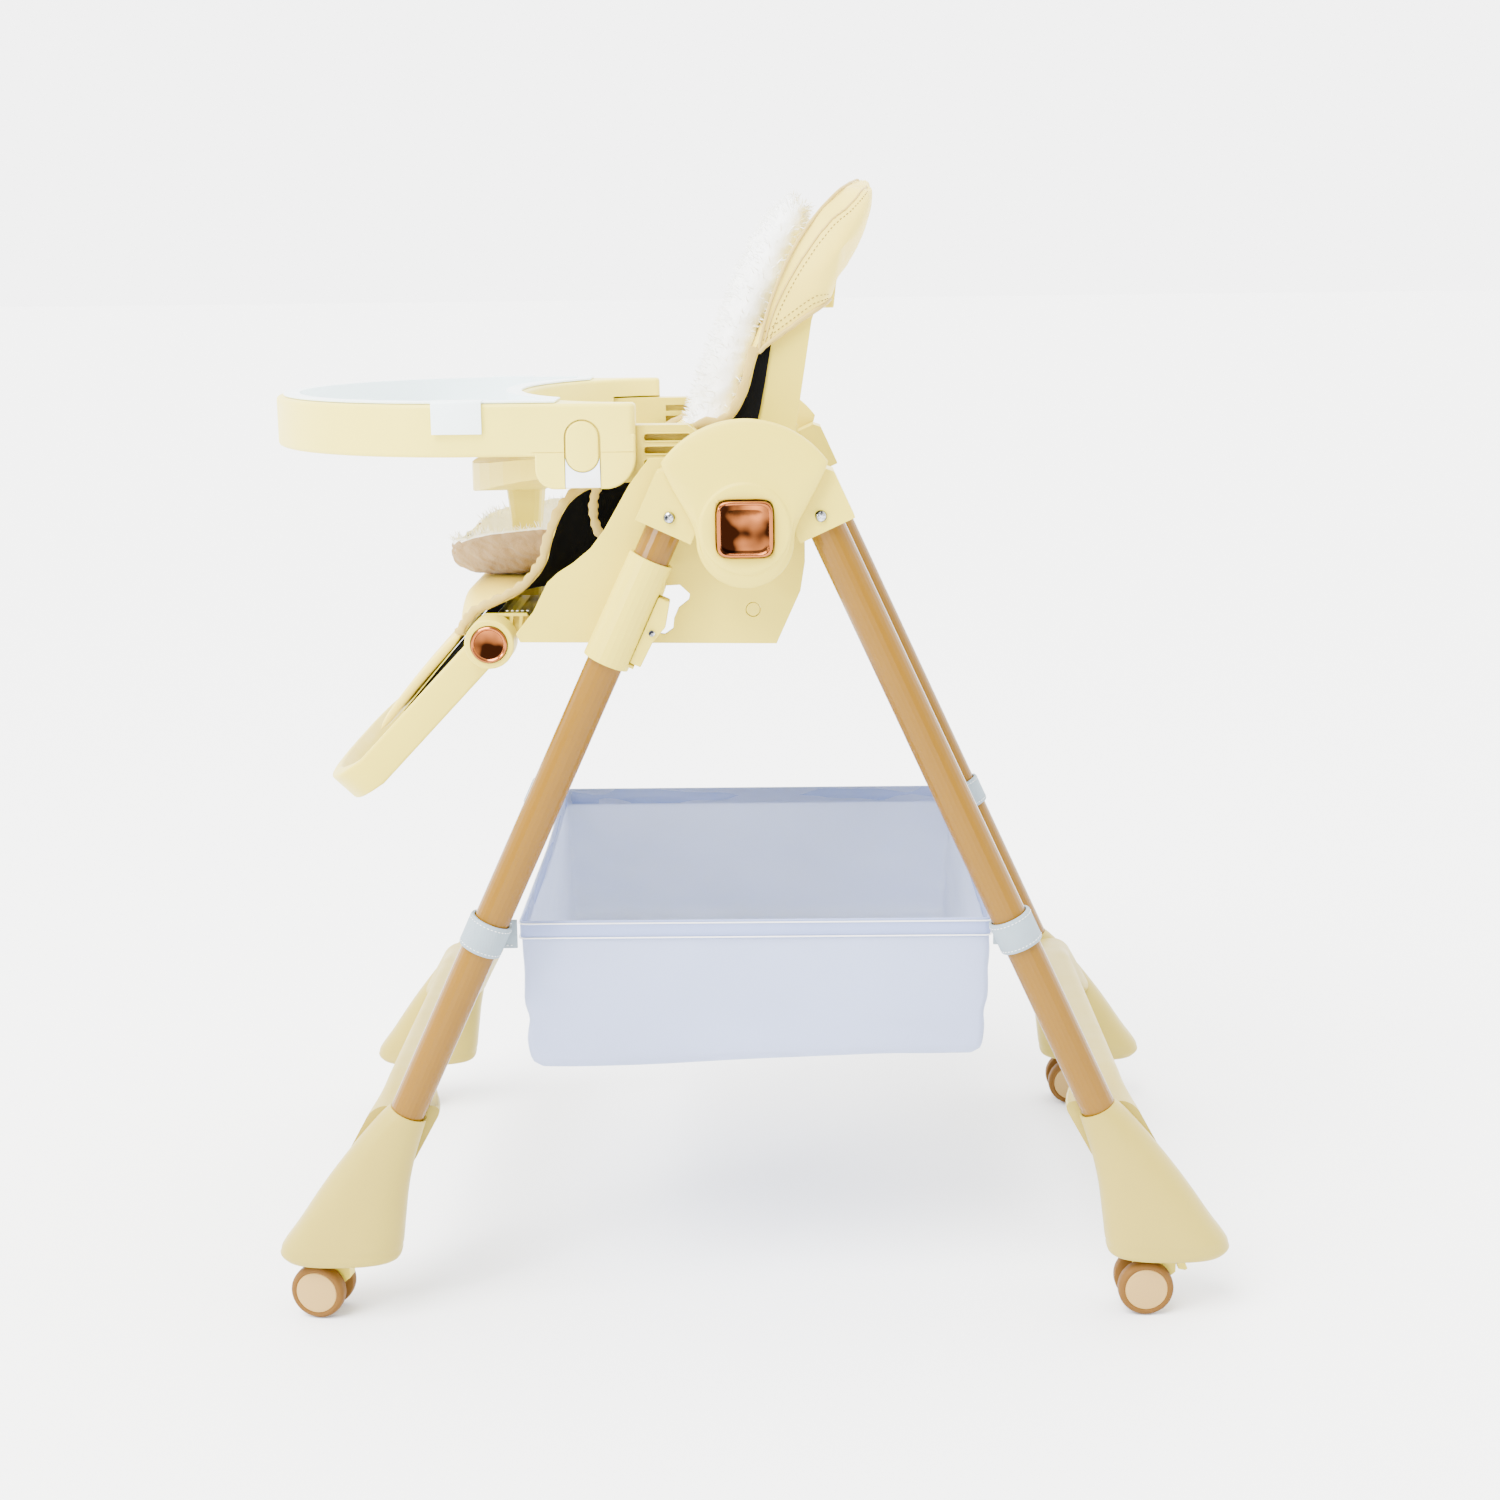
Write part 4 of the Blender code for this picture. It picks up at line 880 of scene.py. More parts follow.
def build_insert():
    """White dish with a thin rim over the tray's edge and a hooked tab on each side."""
    top = TRAY_HIGH + 0.0004
    rim = extrusion("insert_dish", insert_plan(0.0105, 0.0105), top, top + 0.0021, WHITE, "Z", 0.0007)
    bowl = extrusion("bowl", insert_plan(0.0), TRAY_LOW + 0.0070, top + 0.0010, WHITE, "Z")
    join(rim, bowl)
    dish = extrusion("dish", insert_plan(-0.0040), TRAY_LOW + 0.0100, 0.83, WHITE, "Z", 0.0)
    step = extrusion("step", rounded_box(-0.150, 0.000, -0.2450, -0.1200, 0.02), 0.70,
                     TRAY_LOW + 0.0230, WHITE, "Z", 0.0)
    cut(dish, step)
    cut(rim, dish)
    for side in (1, -1):
        wall = TRAY_HALF
        hook = [(side * x, z) for x, z in
                ((0.2060, top + 0.0001), (0.2060, 0.8192), (wall + 0.0014, 0.8192),
                 (wall + 0.0028, 0.8184), (wall + 0.0034, 0.8168), (wall + 0.0034, 0.7910),
                 (wall + 0.0006, 0.7910), (wall + 0.0006, top + 0.0001))]
        tab = extrusion("tab", hook, -0.2610, -0.2180, WHITE, "Y", 0.0005, 2)
        join(rim, tab)
    place(rim, "tray_insert", "white_plastic", "tray_insert")


# ---------------------------------------------------------------- footrest bow
def rest_point(along, above, x):
    """A point of the footrest, along its arms and above their middle line."""
    return Vector((x, REST_Y - along * sin(REST_ANGLE) - above * cos(REST_ANGLE),
                   REST_Z - along * cos(REST_ANGLE) + above * sin(REST_ANGLE)))


def build_footrest_bow():
    straight, deep, thick, tall, rise = 0.160, 0.048, 0.0066, 0.0147, 0.012
    square = 2 / 2.5
    path = [(REST_X, 0.0), (REST_X, 0.04), (REST_X, 0.08), (REST_X, 0.12)]
    for x, v in arc(0, 0, 1.0, 0, 180, 120):
        across = REST_X * abs(x) ** square * (1 if x >= 0 else -1)
        path.append((across, straight + deep * abs(v) ** square))
    path += [(-REST_X, 0.12), (-REST_X, 0.08), (-REST_X, 0.04), (-REST_X, 0.0)]
    outline = rounded_box(-thick, thick, -tall, tall, 0.0024, 3)
    outline = [(t, min(h, tall - 0.0035) if t > thick - 0.0002 else h) for t, h in outline]
    rings = []
    for i, (x, along) in enumerate(path):
        before, after = path[max(i - 1, 0)], path[min(i + 1, len(path) - 1)]
        run = Vector((after[0] - before[0], after[1] - before[1])).normalized()
        side = Vector((run.y, -run.x))
        lift = rise * max(0.0, (along - straight) / deep)
        rings.append([rest_point(along + side.y * t, h + lift, x + side.x * t) for t, h in outline])
    body = skin("footrest_bow", rings, CREAM, smooth=32)
    for side in (1, -1):
        inner, outer = side * 0.1992, side * 0.2330
        ring = rod("ring", (inner, REST_Y, REST_Z), (outer, REST_Y, REST_Z), 0.0217, CREAM, 64,
                   bevel=0.0016)
        well = rod("well", (side * 0.2270, REST_Y, REST_Z), (side * 0.2400, REST_Y, REST_Z),
                   0.0166, CREAM, 48)
        body = cut(join(body, ring), well)
        profile = [(0.2294, 0.0), (0.2294, 0.0150), (0.2302, 0.0158), (0.2338, 0.0160),
                   (0.2352, 0.0156), (0.2358, 0.0146), (0.2354, 0.0134), (0.2345, 0.0126),
                   (0.2345, 0.0)]
        profile = [(side * along, radius) for along, radius in profile]
        key = turned("key", profile, (0, REST_Y, REST_Z), COPPER, 64)
        key.data.materials.append(COPPER_RIM)
        for face in key.data.polygons:
            reach = sqrt((face.center.y - REST_Y) ** 2 + (face.center.z - REST_Z) ** 2)
            if reach > 0.0127 and abs(face.center.x) > 0.2340:
                face.material_index = 1
        word = "left" if side > 0 else "right"
        key.name = f"footrest_key_{word}"
        place(key, f"footrest_button_{word}", "copper_plate", f"footrest_button_{word}")
    place(body, "footrest", "cream_plastic", "footrest_frame")


# ---------------------------------------------------------------- basket and straps
def basket_plan(inset, corner=0.006):
    """Points round the basket's plan, (x, y), evenly enough for wrinkles."""
    x, front, rear = BASKET_HALF - inset, BASKET_FRONT + inset, BASKET_REAR - inset
    radius = max(corner - inset * 0.2, 0.004)
    points = []
    for cx, cy, turn in ((x, front, -90), (x, rear, 0), (-x, rear, 90), (-x, front, 180)):
        a = cx - radius if cx > 0 else cx + radius
        b = cy - radius if cy == rear else cy + radius
        points += arc(a, b, radius, turn, turn + 90, 6)
    dense = []
    for i, (a, b) in enumerate(points):
        p, q = points[(i + 1) % len(points)]
        run = sqrt((p - a) ** 2 + (q - b) ** 2)
        steps = max(1, round(run / 0.006))
        dense += [(a + (p - a) * k / steps, b + (q - b) * k / steps) for k in range(steps)]
    return dense


def settle(point, depth):
    """The bag hangs a little unevenly: its right rim is high, and its front left corner sags."""
    rise = 0.012 * smooth_step(-point.x / BASKET_HALF) * (1 - depth)
    sag = 0.010 * depth * smooth_step(0.5 + point.x / BASKET_HALF) * smooth_step(0.5 - point.y / 0.3)
    return point + Vector((0, 0, rise - sag))


def build_basket():
    rows = []
    top = BASKET_HIGH - 0.0005
    bottom = BASKET_LOW + 0.0022
    levels = 26
    base = basket_plan(0.0)
    for k in range(levels):
        t = k / (levels - 1)
        z = top + (bottom - top) * t
        inset = 0.0022 + 0.0055 * t ** 2 + (0.006 * max(0, (t - 0.93) / 0.07) ** 2)
        row = []
        for x, y in base:
            reach_x = (BASKET_HALF - inset) / BASKET_HALF
            middle = (BASKET_FRONT + BASKET_REAR) / 2
            reach_y = ((BASKET_REAR - BASKET_FRONT) / 2 - inset) / ((BASKET_REAR - BASKET_FRONT) / 2)
            point = Vector((x * reach_x, middle + (y - middle) * reach_y, z))
            outward = Vector((x / BASKET_HALF, (y - middle) / 0.211, 0)).normalized()
            corner = min(1.0, max(0.0, (abs(x) / BASKET_HALF + abs(y - middle) / 0.211 - 1.55) / 0.4))
            slack = max(0.12, min(1.0, 1.6 * t)) * (1 - 0.5 * max(0, (t - 0.8) / 0.2))
            tilt = Vector((x * 9 + z * 14, y * 9 + z * 10, z * 20))
            fold = noise.noise(tilt) * 0.0030 + noise.noise(tilt * 2.6 + Vector((3, 1, 7))) * 0.0014
            pull = sin((x + y) * 60 + z * 150) * 0.0016 * corner
            point += outward * min((fold + pull) * slack, 0.0024)
            point = settle(point, t)
            point.z -= 0.0016 * t * (1 + noise.noise(Vector((x * 12, y * 12, 2)))) * 0.4
            row.append(point)
        rows.append(row)
    centre = Vector((0, (BASKET_FRONT + BASKET_REAR) / 2, bottom))
    for k in range(1, 22):
        share = 1 - k / 22
        row = []
        for point in rows[levels - 1]:
            at = centre + (point - centre) * share
            sag = noise.noise(Vector((at.x * 8, at.y * 8, 0.5)))
            at.z = bottom - 0.0008 + (sag + 1) * 0.0012 * min(1, (1 - share) * 6)
            row.append(at)
        rows.append(row)
    sheet = skin("basket_cloth", rows, NYLON, caps=False, smooth=180)
    shape = bmesh.new()
    shape.from_mesh(sheet.data)
    rim = [e for e in shape.edges if e.is_boundary and e.verts[0].co.z < bottom + 0.01]
    if rim:
        bmesh.ops.contextual_create(shape, geom=rim)
    bmesh.ops.recalc_face_normals(shape, faces=shape.faces)
    shape.to_mesh(sheet.data)
    shape.free()
    thick = sheet.modifiers.new("cloth", "SOLIDIFY")
    thick.thickness = 0.0007
    thick.offset = 0
    applied(sheet, 60)
    place(sheet, "front_frame", "basket_nylon", "basket")
    plan = basket_plan(0.0014)
    path = [settle(Vector((x, y, BASKET_HIGH - 0.0085)), 0) for x, y in plan]
    section = [(-0.0011, -0.0080), (-0.0003, -0.0090), (0.0006, -0.0080), (0.0009, 0.0),
               (0.0006, 0.0080), (-0.0003, 0.0088), (-0.0011, 0.0080), (-0.0013, 0.0)]
    hem = sweep("basket_hem", path, section, NYLON_HEM, closed=True)
    place(hem, "front_frame", "basket_nylon")
    for level in (BASKET_HIGH - 0.0155, BASKET_HIGH - 0.0022):
        line = [settle(Vector((x, y, level)), 0) for x, y in basket_plan(-0.0001)]
        ridge = sweep("basket_hem_line", line, oval(0.00045, 0.0007, 6), STITCH_WHITE,
                      closed=True)
        place(ridge, "front_frame", "basket_nylon")
    corner = (BASKET_HIGH - BASKET_LOW) ** 2


def build_straps():
    for leg, word in ((FRONT, "front"), (REAR, "rear")):
        middle = (HUB_Z + sin(LEG_ANGLE) * LEG_OFFSET - 0.357) / cos(LEG_ANGLE)
        half, count = 0.0145, 48
        rings = []
        for along, radius in ((-half, TUBE_R + 0.0010), (-half, TUBE_R + 0.0030),
                              (-half + 0.0012, TUBE_R + 0.0036), (half - 0.0012, TUBE_R + 0.0036),
                              (half, TUBE_R + 0.0030), (half, TUBE_R + 0.0010)):
            ring = []
            for i in range(count):
                angle = 2 * pi * i / count
                wave = 0.0003 * noise.noise(Vector((cos(angle) * 3, sin(angle) * 3, along * 60)))
                ring.append(leg.at(middle + along, (radius + wave) * cos(angle),
                                   (radius + wave) * sin(angle)))
            rings.append(ring)
        rings.append(rings[0])
        band = skin("band", rings, WEBBING, caps=False)
        inner_y = leg.at(middle).y - leg.side * 0.002
        rim_y = BASKET_FRONT - 0.0002 if leg.side < 0 else BASKET_REAR + 0.0002
        low, high = sorted((inner_y, rim_y))
        tail = box("tail", (LEG_X - 0.0216, low, 0.3380), (LEG_X - 0.0184, high, 0.3640), WEBBING,
                   0.0006, 2)
        rows = []
        for z in (0.3410, 0.3610):
            rows.append(dashes("stitches", [Vector((LEG_X - 0.0182, low + 0.002, z)),
                                            Vector((LEG_X - 0.0182, high - 0.002, z))],
                               STITCH_WHITE, 0.0024, 0.0036, 0.0004))
        for along in (-half + 0.0030, half - 0.0030):
            circle = []
            for i in range(40):
                angle = 2 * pi * i / 40
                circle.append(leg.at(middle + along, (TUBE_R + 0.0038) * cos(angle),
                                     (TUBE_R + 0.0038) * sin(angle)))
            rows.append(dashes("stitches", circle, STITCH_WHITE, 0.0024, 0.0036, 0.0004))
        left = combine(band, tail, *rows)
        left.name = f"{word}_left_band"
        right = mirror(left, f"{word}_right_band")
        place(left, BODY_OF_LEG[leg], "strap_webbing", f"{word}_basket_strap_left")
        place(right, BODY_OF_LEG[leg], "strap_webbing", f"{word}_basket_strap_right")


# ---------------------------------------------------------------- sling of the seat and the back
def smooth_step(t):
    t = min(1.0, max(0.0, t))
    return t * t * (3 - 2 * t)


SLING = [
    # centre (y, z), edge (y, z), half width
    (-0.2560, 0.6150, -0.2480, 0.6120, 0.1870),
    (-0.2530, 0.6330, -0.2420, 0.6230, 0.1875),
    (-0.2460, 0.6440, -0.2320, 0.6330, 0.1880),
    (-0.2250, 0.6490, -0.2130, 0.6420, 0.1885),
    (-0.1900, 0.6495, -0.1950, 0.6510, 0.1885),
    (-0.1500, 0.6495, -0.1810, 0.6640, 0.1885),
    (-0.1150, 0.6485, -0.1720, 0.6775, 0.1885),
    (-0.0850, 0.6480, -0.1670, 0.6950, 0.1885),
    (-0.0600, 0.6490, -0.1600, 0.7130, 0.1880),
    (-0.0440, 0.6560, -0.1500, 0.7290, 0.1840),
    (-0.0350, 0.6720, -0.1340, 0.7400, 0.1760),
    (-0.0310, 0.6950, -0.1100, 0.7440, 0.1700),
    (-0.0260, 0.7250, -0.0830, 0.7620, 0.1700),
    (-0.0170, 0.7650, -0.0400, 0.7900, 0.1720),
    (-0.0100, 0.7980, -0.0095, 0.7980, 0.1725),
    (-0.0030, 0.8230, 0.0050, 0.8200, 0.1725),
    (0.0060, 0.8500, 0.0130, 0.8480, 0.1720),
    (0.0200, 0.8850, 0.0220, 0.8720, 0.1700),
]


def sling_rib(station, count=56):
    cy, cz, ey, ez, half = station
    rib = []
    for i in range(count):
        u = -1 + 2 * i / (count - 1)
        side = 1 if u >= 0 else -1
        a = abs(u)
        share = smooth_step((a - 0.50) / 0.50) ** 1.1
        x = side * half * (1 - (1 - a) ** 1.25)
        rib.append(Vector((x, cy + (ey - cy) * share, cz + (ez - cz) * share)))
    return rib


def surface(name, rows, material, thickness, offset=-1.0, skip=None, smooth=180):
    """Sheet through rows of points, thickened; skip names the faces that are left out."""
    shape = bmesh.new()
    verts = [[shape.verts.new(p) for p in row] for row in rows]
    for low, high in zip(verts, verts[1:]):
        for i in range(len(low) - 1):
            middle = (low[i].co + low[i + 1].co + high[i].co + high[i + 1].co) / 4
            if skip and skip(middle):
                continue
            shape.faces.new((low[i], low[i + 1], high[i + 1], high[i]))
    piece = finish_mesh(shape, name, material, smooth)
    thick = piece.modifiers.new("thick", "SOLIDIFY")
    thick.thickness = thickness
    thick.offset = offset
    if isinstance(material, (list, tuple)) and len(material) > 1:
        thick.material_offset = 1
        thick.material_offset_rim = 0
    return applied(piece, 60)


def over_post(point):
    return abs(point.x) < 0.029 and -0.2290 < point.y < -0.1830 and point.z < 0.72


def build_sling():
    stations = spline(SLING, 110)
    rows = []
    for k, station in enumerate(stations):
        rib = sling_rib(station)
        for point in rib:
            wave = noise.noise(Vector((point.x * 16, point.y * 16, point.z * 16 + 4)))
            edge = min(1.0, (abs(point.x) / 0.187) ** 3)
            point.y += 0.0022 * wave * edge
        rows.append(rib)
    cover = surface("sling_cover", rows, [LEATHER, LINING], 0.0032, skip=over_post)
    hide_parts("seat_cover")
    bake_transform(cover)
    for side, word in ((1, "left"), (-1, "right")):
        path = []
        for k, station in enumerate(stations[:-4]):
            ey, ez, half = station[2:5]
            ruffle = 0.0016 * sin(k * 1.7) + 0.0010 * sin(k * 0.61)
            path.append(Vector((side * (half + 0.0010 + 0.0008 * sin(k * 0.9)), ey - 0.0012,
                                ez + 0.0010 + 0.4 * ruffle)))

        def section(i):
            swell = 1 + 0.16 * sin(i * 1.7) + 0.10 * sin(i * 0.73 + 1)
            return [(a * swell, b) for a, b in oval(0.0040, 0.0026, 12, 2.6)]

        trim = sweep(f"sling_binding_{word}", path, section, LEATHER_EDGE, up=Vector((side, 0, 0)))
        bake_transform(trim)
        build_lining(side, word, stations)
    build_wing_bindings(section)


def build_lining(side, word, stations):
    """Black gusset between the sling's edge and the rail of the back."""
    rail = spline([(-0.0120, 0.7300), (0.0030, 0.7500), (0.0165, 0.7930), (0.0225, 0.8200),
                   (0.0295, 0.8600), (0.0320, 0.8750)], 40)
    chosen = [s for s in stations if s[3] > 0.756 and s[2] > -0.09][:-3]
    rows = []
    for k in range(40):
        station = chosen[round(k * (len(chosen) - 1) / 39)]
        start = Vector((side * (station[4] - 0.0008), station[2], station[3]))
        end = Vector((side * 0.1668, rail[k][0], rail[k][1]))
        rows.append([start.lerp(end, i / 7) for i in range(8)])
    gusset = surface(f"lining_gusset_{word}", rows, LINING, 0.0010, offset=0)
    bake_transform(gusset)


def build_wing_bindings(section):
    """Second ruffled binding on each wing, and the stitches of the lining's lower edge."""
    line = spline([(-0.1236, 0.7410), (-0.1265, 0.7300), (-0.1269, 0.7170), (-0.1235, 0.7035),
                   (-0.1170, 0.6930)], 26)
    for side, word in ((1, "left"), (-1, "right")):
        path = [Vector((side * 0.1905, y, z)) for y, z in line]
        trim = sweep(f"wing_binding_{word}", path, section, LEATHER_EDGE, up=Vector((side, 0, 0)))
        place(trim, "seat", "beige_leather")
        run = [Vector((side * 0.1900, y, z)) for y, z in ((-0.2080, 0.6330), (-0.1870, 0.6330))]
        place(dashes(f"lining_stitches_{word}", run, STITCH_WHITE, 0.0030, 0.0045, 0.0005),
              "seat", "beige_leather")


def dashes(name, path, material, length, pitch, radius):
    """Stitches: short capsules laid end to end along a path."""
    shape = bmesh.new()
    travel, due = 0.0, pitch / 2
    for start, end in zip(path, path[1:]):
        span = (end - start).length
        while due <= travel + span:
            middle = start.lerp(end, (due - travel) / span)
            turn = (end - start).to_track_quat("X", "Z").to_matrix().to_4x4()
            matrix = (Matrix.Translation(middle) @ turn
                      @ Matrix.Diagonal((length / 2, radius, radius, 1)))
            bmesh.ops.create_icosphere(shape, subdivisions=1, radius=1.0, matrix=matrix)
            due += pitch
        travel += span
    mesh = bpy.data.meshes.new(name)
    shape.to_mesh(mesh)
    shape.free()
    mesh.shade_smooth()
    mesh.materials.append(material)
    piece = bpy.data.objects.new(name, mesh)
    bpy.context.scene.collection.objects.link(piece)
    return piece


# ---------------------------------------------------------------- knit liner
LINER = [
    # centre (y, z), edge (y, z), half width, thickness
    (-0.2700, 0.6780, -0.2640, 0.6740, 0.0900, 0.006),
    (-0.2680, 0.6690, -0.2640, 0.6800, 0.1040, 0.010),
    (-0.2570, 0.6630, -0.2520, 0.6870, 0.1160, 0.012),
    (-0.2350, 0.6600, -0.2350, 0.6920, 0.1250, 0.013),
    (-0.2050, 0.6580, -0.2070, 0.6960, 0.1330, 0.013),
    (-0.1750, 0.6580, -0.1780, 0.6990, 0.1400, 0.012),
    (-0.1400, 0.6580, -0.1520, 0.7010, 0.1450, 0.012),
    (-0.1050, 0.6580, -0.1280, 0.7080, 0.1480, 0.013),
    (-0.0750, 0.6600, -0.1060, 0.7220, 0.1480, 0.015),
    (-0.0520, 0.6720, -0.0840, 0.7430, 0.1500, 0.020),
    (-0.0440, 0.7000, -0.0600, 0.7640, 0.1520, 0.026),
    (-0.0370, 0.7400, -0.0360, 0.7850, 0.1530, 0.031),
    (-0.0270, 0.7850, -0.0150, 0.8060, 0.1530, 0.034),
    (-0.0130, 0.8300, -0.0040, 0.8400, 0.1520, 0.034),
    (0.0020, 0.8700, 0.0080, 0.8740, 0.1480, 0.033),
    (0.0170, 0.9080, 0.0220, 0.9100, 0.1420, 0.031),
    (0.0330, 0.9450, 0.0370, 0.9450, 0.1300, 0.028),
    (0.0480, 0.9740, 0.0500, 0.9710, 0.1120, 0.024),
    (0.0590, 0.9900, 0.0590, 0.9860, 0.0860, 0.015),
]


def liner_rings():
    """Closed sections across the liner, thinner towards its sides."""
    rings = []
    stations = spline(LINER, 170)
    middles = [sling_rib(station[:5], 40) for station in stations]
    for k, station in enumerate(stations):
        rib, ahead, behind = middles[k], middles[min(k + 1, 169)], middles[max(k - 1, 0)]
        upper, lower = [], []
        for i, point in enumerate(rib):
            along = ahead[i] - behind[i]
            across = rib[min(i + 1, 39)] - rib[max(i - 1, 0)]
            normal = across.cross(along).normalized()
            u = -1 + 2 * i / 39
            thick = station[5] * (max(0.0, 1 - abs(u) ** 5)) ** 0.5 / 2
            upper.append(point + normal * thick)
            lower.append(point - normal * thick)
        rings.append(upper + list(reversed(lower))[1:-1])
    return rings


def build_liner():
    rings = liner_rings()
    shape = bmesh.new()
    rows = [[shape.verts.new(p) for p in ring] for ring in rings]
    count = len(rings[0])
    for low, high in zip(rows, rows[1:]):
        for i in range(count):
            j = (i + 1) % count
            middle = (low[i].co + low[j].co + high[i].co + high[j].co) / 4
            if not over_post(middle):
                shape.faces.new((low[i], low[j], high[j], high[i]))
    shape.faces.new(reversed(rows[0]))
    shape.faces.new(rows[-1])
    walls = [e for e in shape.edges if e.is_boundary]
    if walls:
        bmesh.ops.bridge_loops(shape, edges=walls)
    liner = finish_mesh(shape, "knit_liner_cloth", [FLEECE, KNIT], 180)
    swollen(liner, 4.0, 0.004, lambda at: at.z < 0.70 and abs(at.x) > 0.13)
    shape = bmesh.new()
    shape.from_mesh(liner.data)
    shape.normal_update()
    for face in shape.faces:
        middle = face.calc_center_median()
        face.material_index = 1 if middle.z < 0.72 and face.normal.z < 0.1 else 0
    for vertex in shape.verts:
        fluff = noise.fractal(vertex.co * 75, 1.0, 2.1, 4)
        vertex.co += vertex.normal * (0.0020 * fluff + 0.0008)
    shape.to_mesh(liner.data)
    shape.free()
    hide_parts("seat_liner", "backrest_liner")
    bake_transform(liner)
    build_fluff(liner)


def build_fluff(liner):
    """Short curled fibres that stand off the fleece."""
    draw = random.Random(11)
    shape = bmesh.new()
    faces = [f for f in liner.data.polygons if f.material_index == 0 and f.center.z > 0.683]
    for _ in range(5200):
        face = faces[draw.randrange(len(faces))]
        root = face.center.copy()
        normal = face.normal
        lean = Vector((draw.uniform(-1, 1), draw.uniform(-1, 1), draw.uniform(-0.6, 1.2)))
        run = (normal * 1.0 + lean * 0.55).normalized()
        side = run.cross(Vector((draw.uniform(-1, 1), draw.uniform(-1, 1), 0.3))).normalized()
        length = draw.uniform(0.0035, 0.0085)
        curl = side.cross(run) * draw.uniform(-0.35, 0.35)
        before = None
        for k in range(4):
            t = k / 3
            middle = root + (run * t + curl * t * t) * length - normal * 0.0008 * (1 - t)
            half = side * (0.00055 * (1 - t) + 0.00010)
            pair = (shape.verts.new(middle - half), shape.verts.new(middle + half))
            if before:
                shape.faces.new((before[0], before[1], pair[1], pair[0]))
            before = pair
    mesh = bpy.data.meshes.new("liner_fluff")
    shape.to_mesh(mesh)
    shape.free()
    mesh.shade_smooth()
    mesh.materials.append(FLEECE)
    fluff = bpy.data.objects.new("liner_fluff", mesh)
    bpy.context.scene.collection.objects.link(fluff)
    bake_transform(fluff)


# ---------------------------------------------------------------- hood over the back
HOOD = [
    # front edge (y, z), rear edge (y, z), half width
    (0.0165, 0.8535, 0.0850, 0.9020, 0.1725),
    (0.0175, 0.8620, 0.0900, 0.9110, 0.1725),
    (0.0215, 0.8800, 0.0965, 0.9240, 0.1720),
    (0.0300, 0.9060, 0.1030, 0.9420, 0.1700),
    (0.0440, 0.9370, 0.1120, 0.9550, 0.1640),
    (0.0610, 0.9630, 0.1180, 0.9700, 0.1540),
    (0.0795, 0.9840, 0.1215, 0.9850, 0.1370),
    (0.0940, 0.9960, 0.1225, 0.9960, 0.1130),
    (0.1040, 1.0015, 0.1215, 1.0020, 0.0820),
    (0.1120, 1.0040, 0.1195, 1.0050, 0.0450),
]


def hood_ring(station, count=84):
    fy, fz, ry, rz, half = station
    ring = []
    for i in range(count):
        angle = 2 * pi * i / count
        c, s = cos(angle), sin(angle)
        x = half * (abs(c) ** (0.22 if s >= 0 else 0.62)) * (1 if c >= 0 else -1)
        if s >= 0:
            share = abs(s) ** 0.36
            y = fy + (ry - fy) * share
            z = fz + (rz - fz) * share
        else:
            dip = min(0.030, (ry - fy) * 0.42) * (abs(s) ** 0.9)
            y, z = fy + dip, fz + dip * (rz - fz) / max(ry - fy, 0.001)
        ring.append(Vector((x, y, z)))
    return ring


def build_hood():
    stations = spline(HOOD, 60)
    rings = [hood_ring(s) for s in stations]
    hood = skin("headrest_hood", rings, LEATHER, smooth=70)
    edges = [hood_side(0.004, s) for s in stations]
    edges += [hood_side(0.02 + 0.95 * k / 30, stations[0]) for k in range(31)]
    edges += [Vector((-p.x, p.y, p.z)) for p in edges]
    swollen(hood, 4.0, 0.004, lambda at: min((at - e).length for e in edges) < 0.006)
    shape = bmesh.new()
    shape.from_mesh(hood.data)
    shape.normal_update()
    for vertex in shape.verts:
        point = vertex.co
        wrinkle = noise.noise(Vector((point.x * 20, point.y * 34, point.z * 20)))
        vertex.co += vertex.normal * (0.0014 * wrinkle - 0.0005)
    shape.to_mesh(hood.data)
    shape.free()
    place(hood, "backrest", "beige_leather", "backrest_cover")
    build_hood_seams(hood, stations)


def hood_side(share_front, station, proud=0.0):
    """Point on the +X flank of the hood's ring, share_front of the way from its front edge."""
    fy, fz, ry, rz, half = station
    s = share_front ** (1 / 0.36)
    c = sqrt(max(0.0, 1 - min(1, s) ** 2))
    return Vector((half * c ** 0.22 + proud, fy + (ry - fy) * share_front,
                   fz + (rz - fz) * share_front))


def on_flank(y, z, stations, proud):
    """The point of the hood's +X flank that lies at (y, z) when seen from the side."""
    best, found = 1.0, None
    for station in stations:
        for k in range(2, 96):
            point = hood_side(k / 100, station, proud=proud)
            away = (point.y - y) ** 2 + (point.z - z) ** 2
            if away < best:
                best, found = away, point
    return Vector((found.x, y, z))


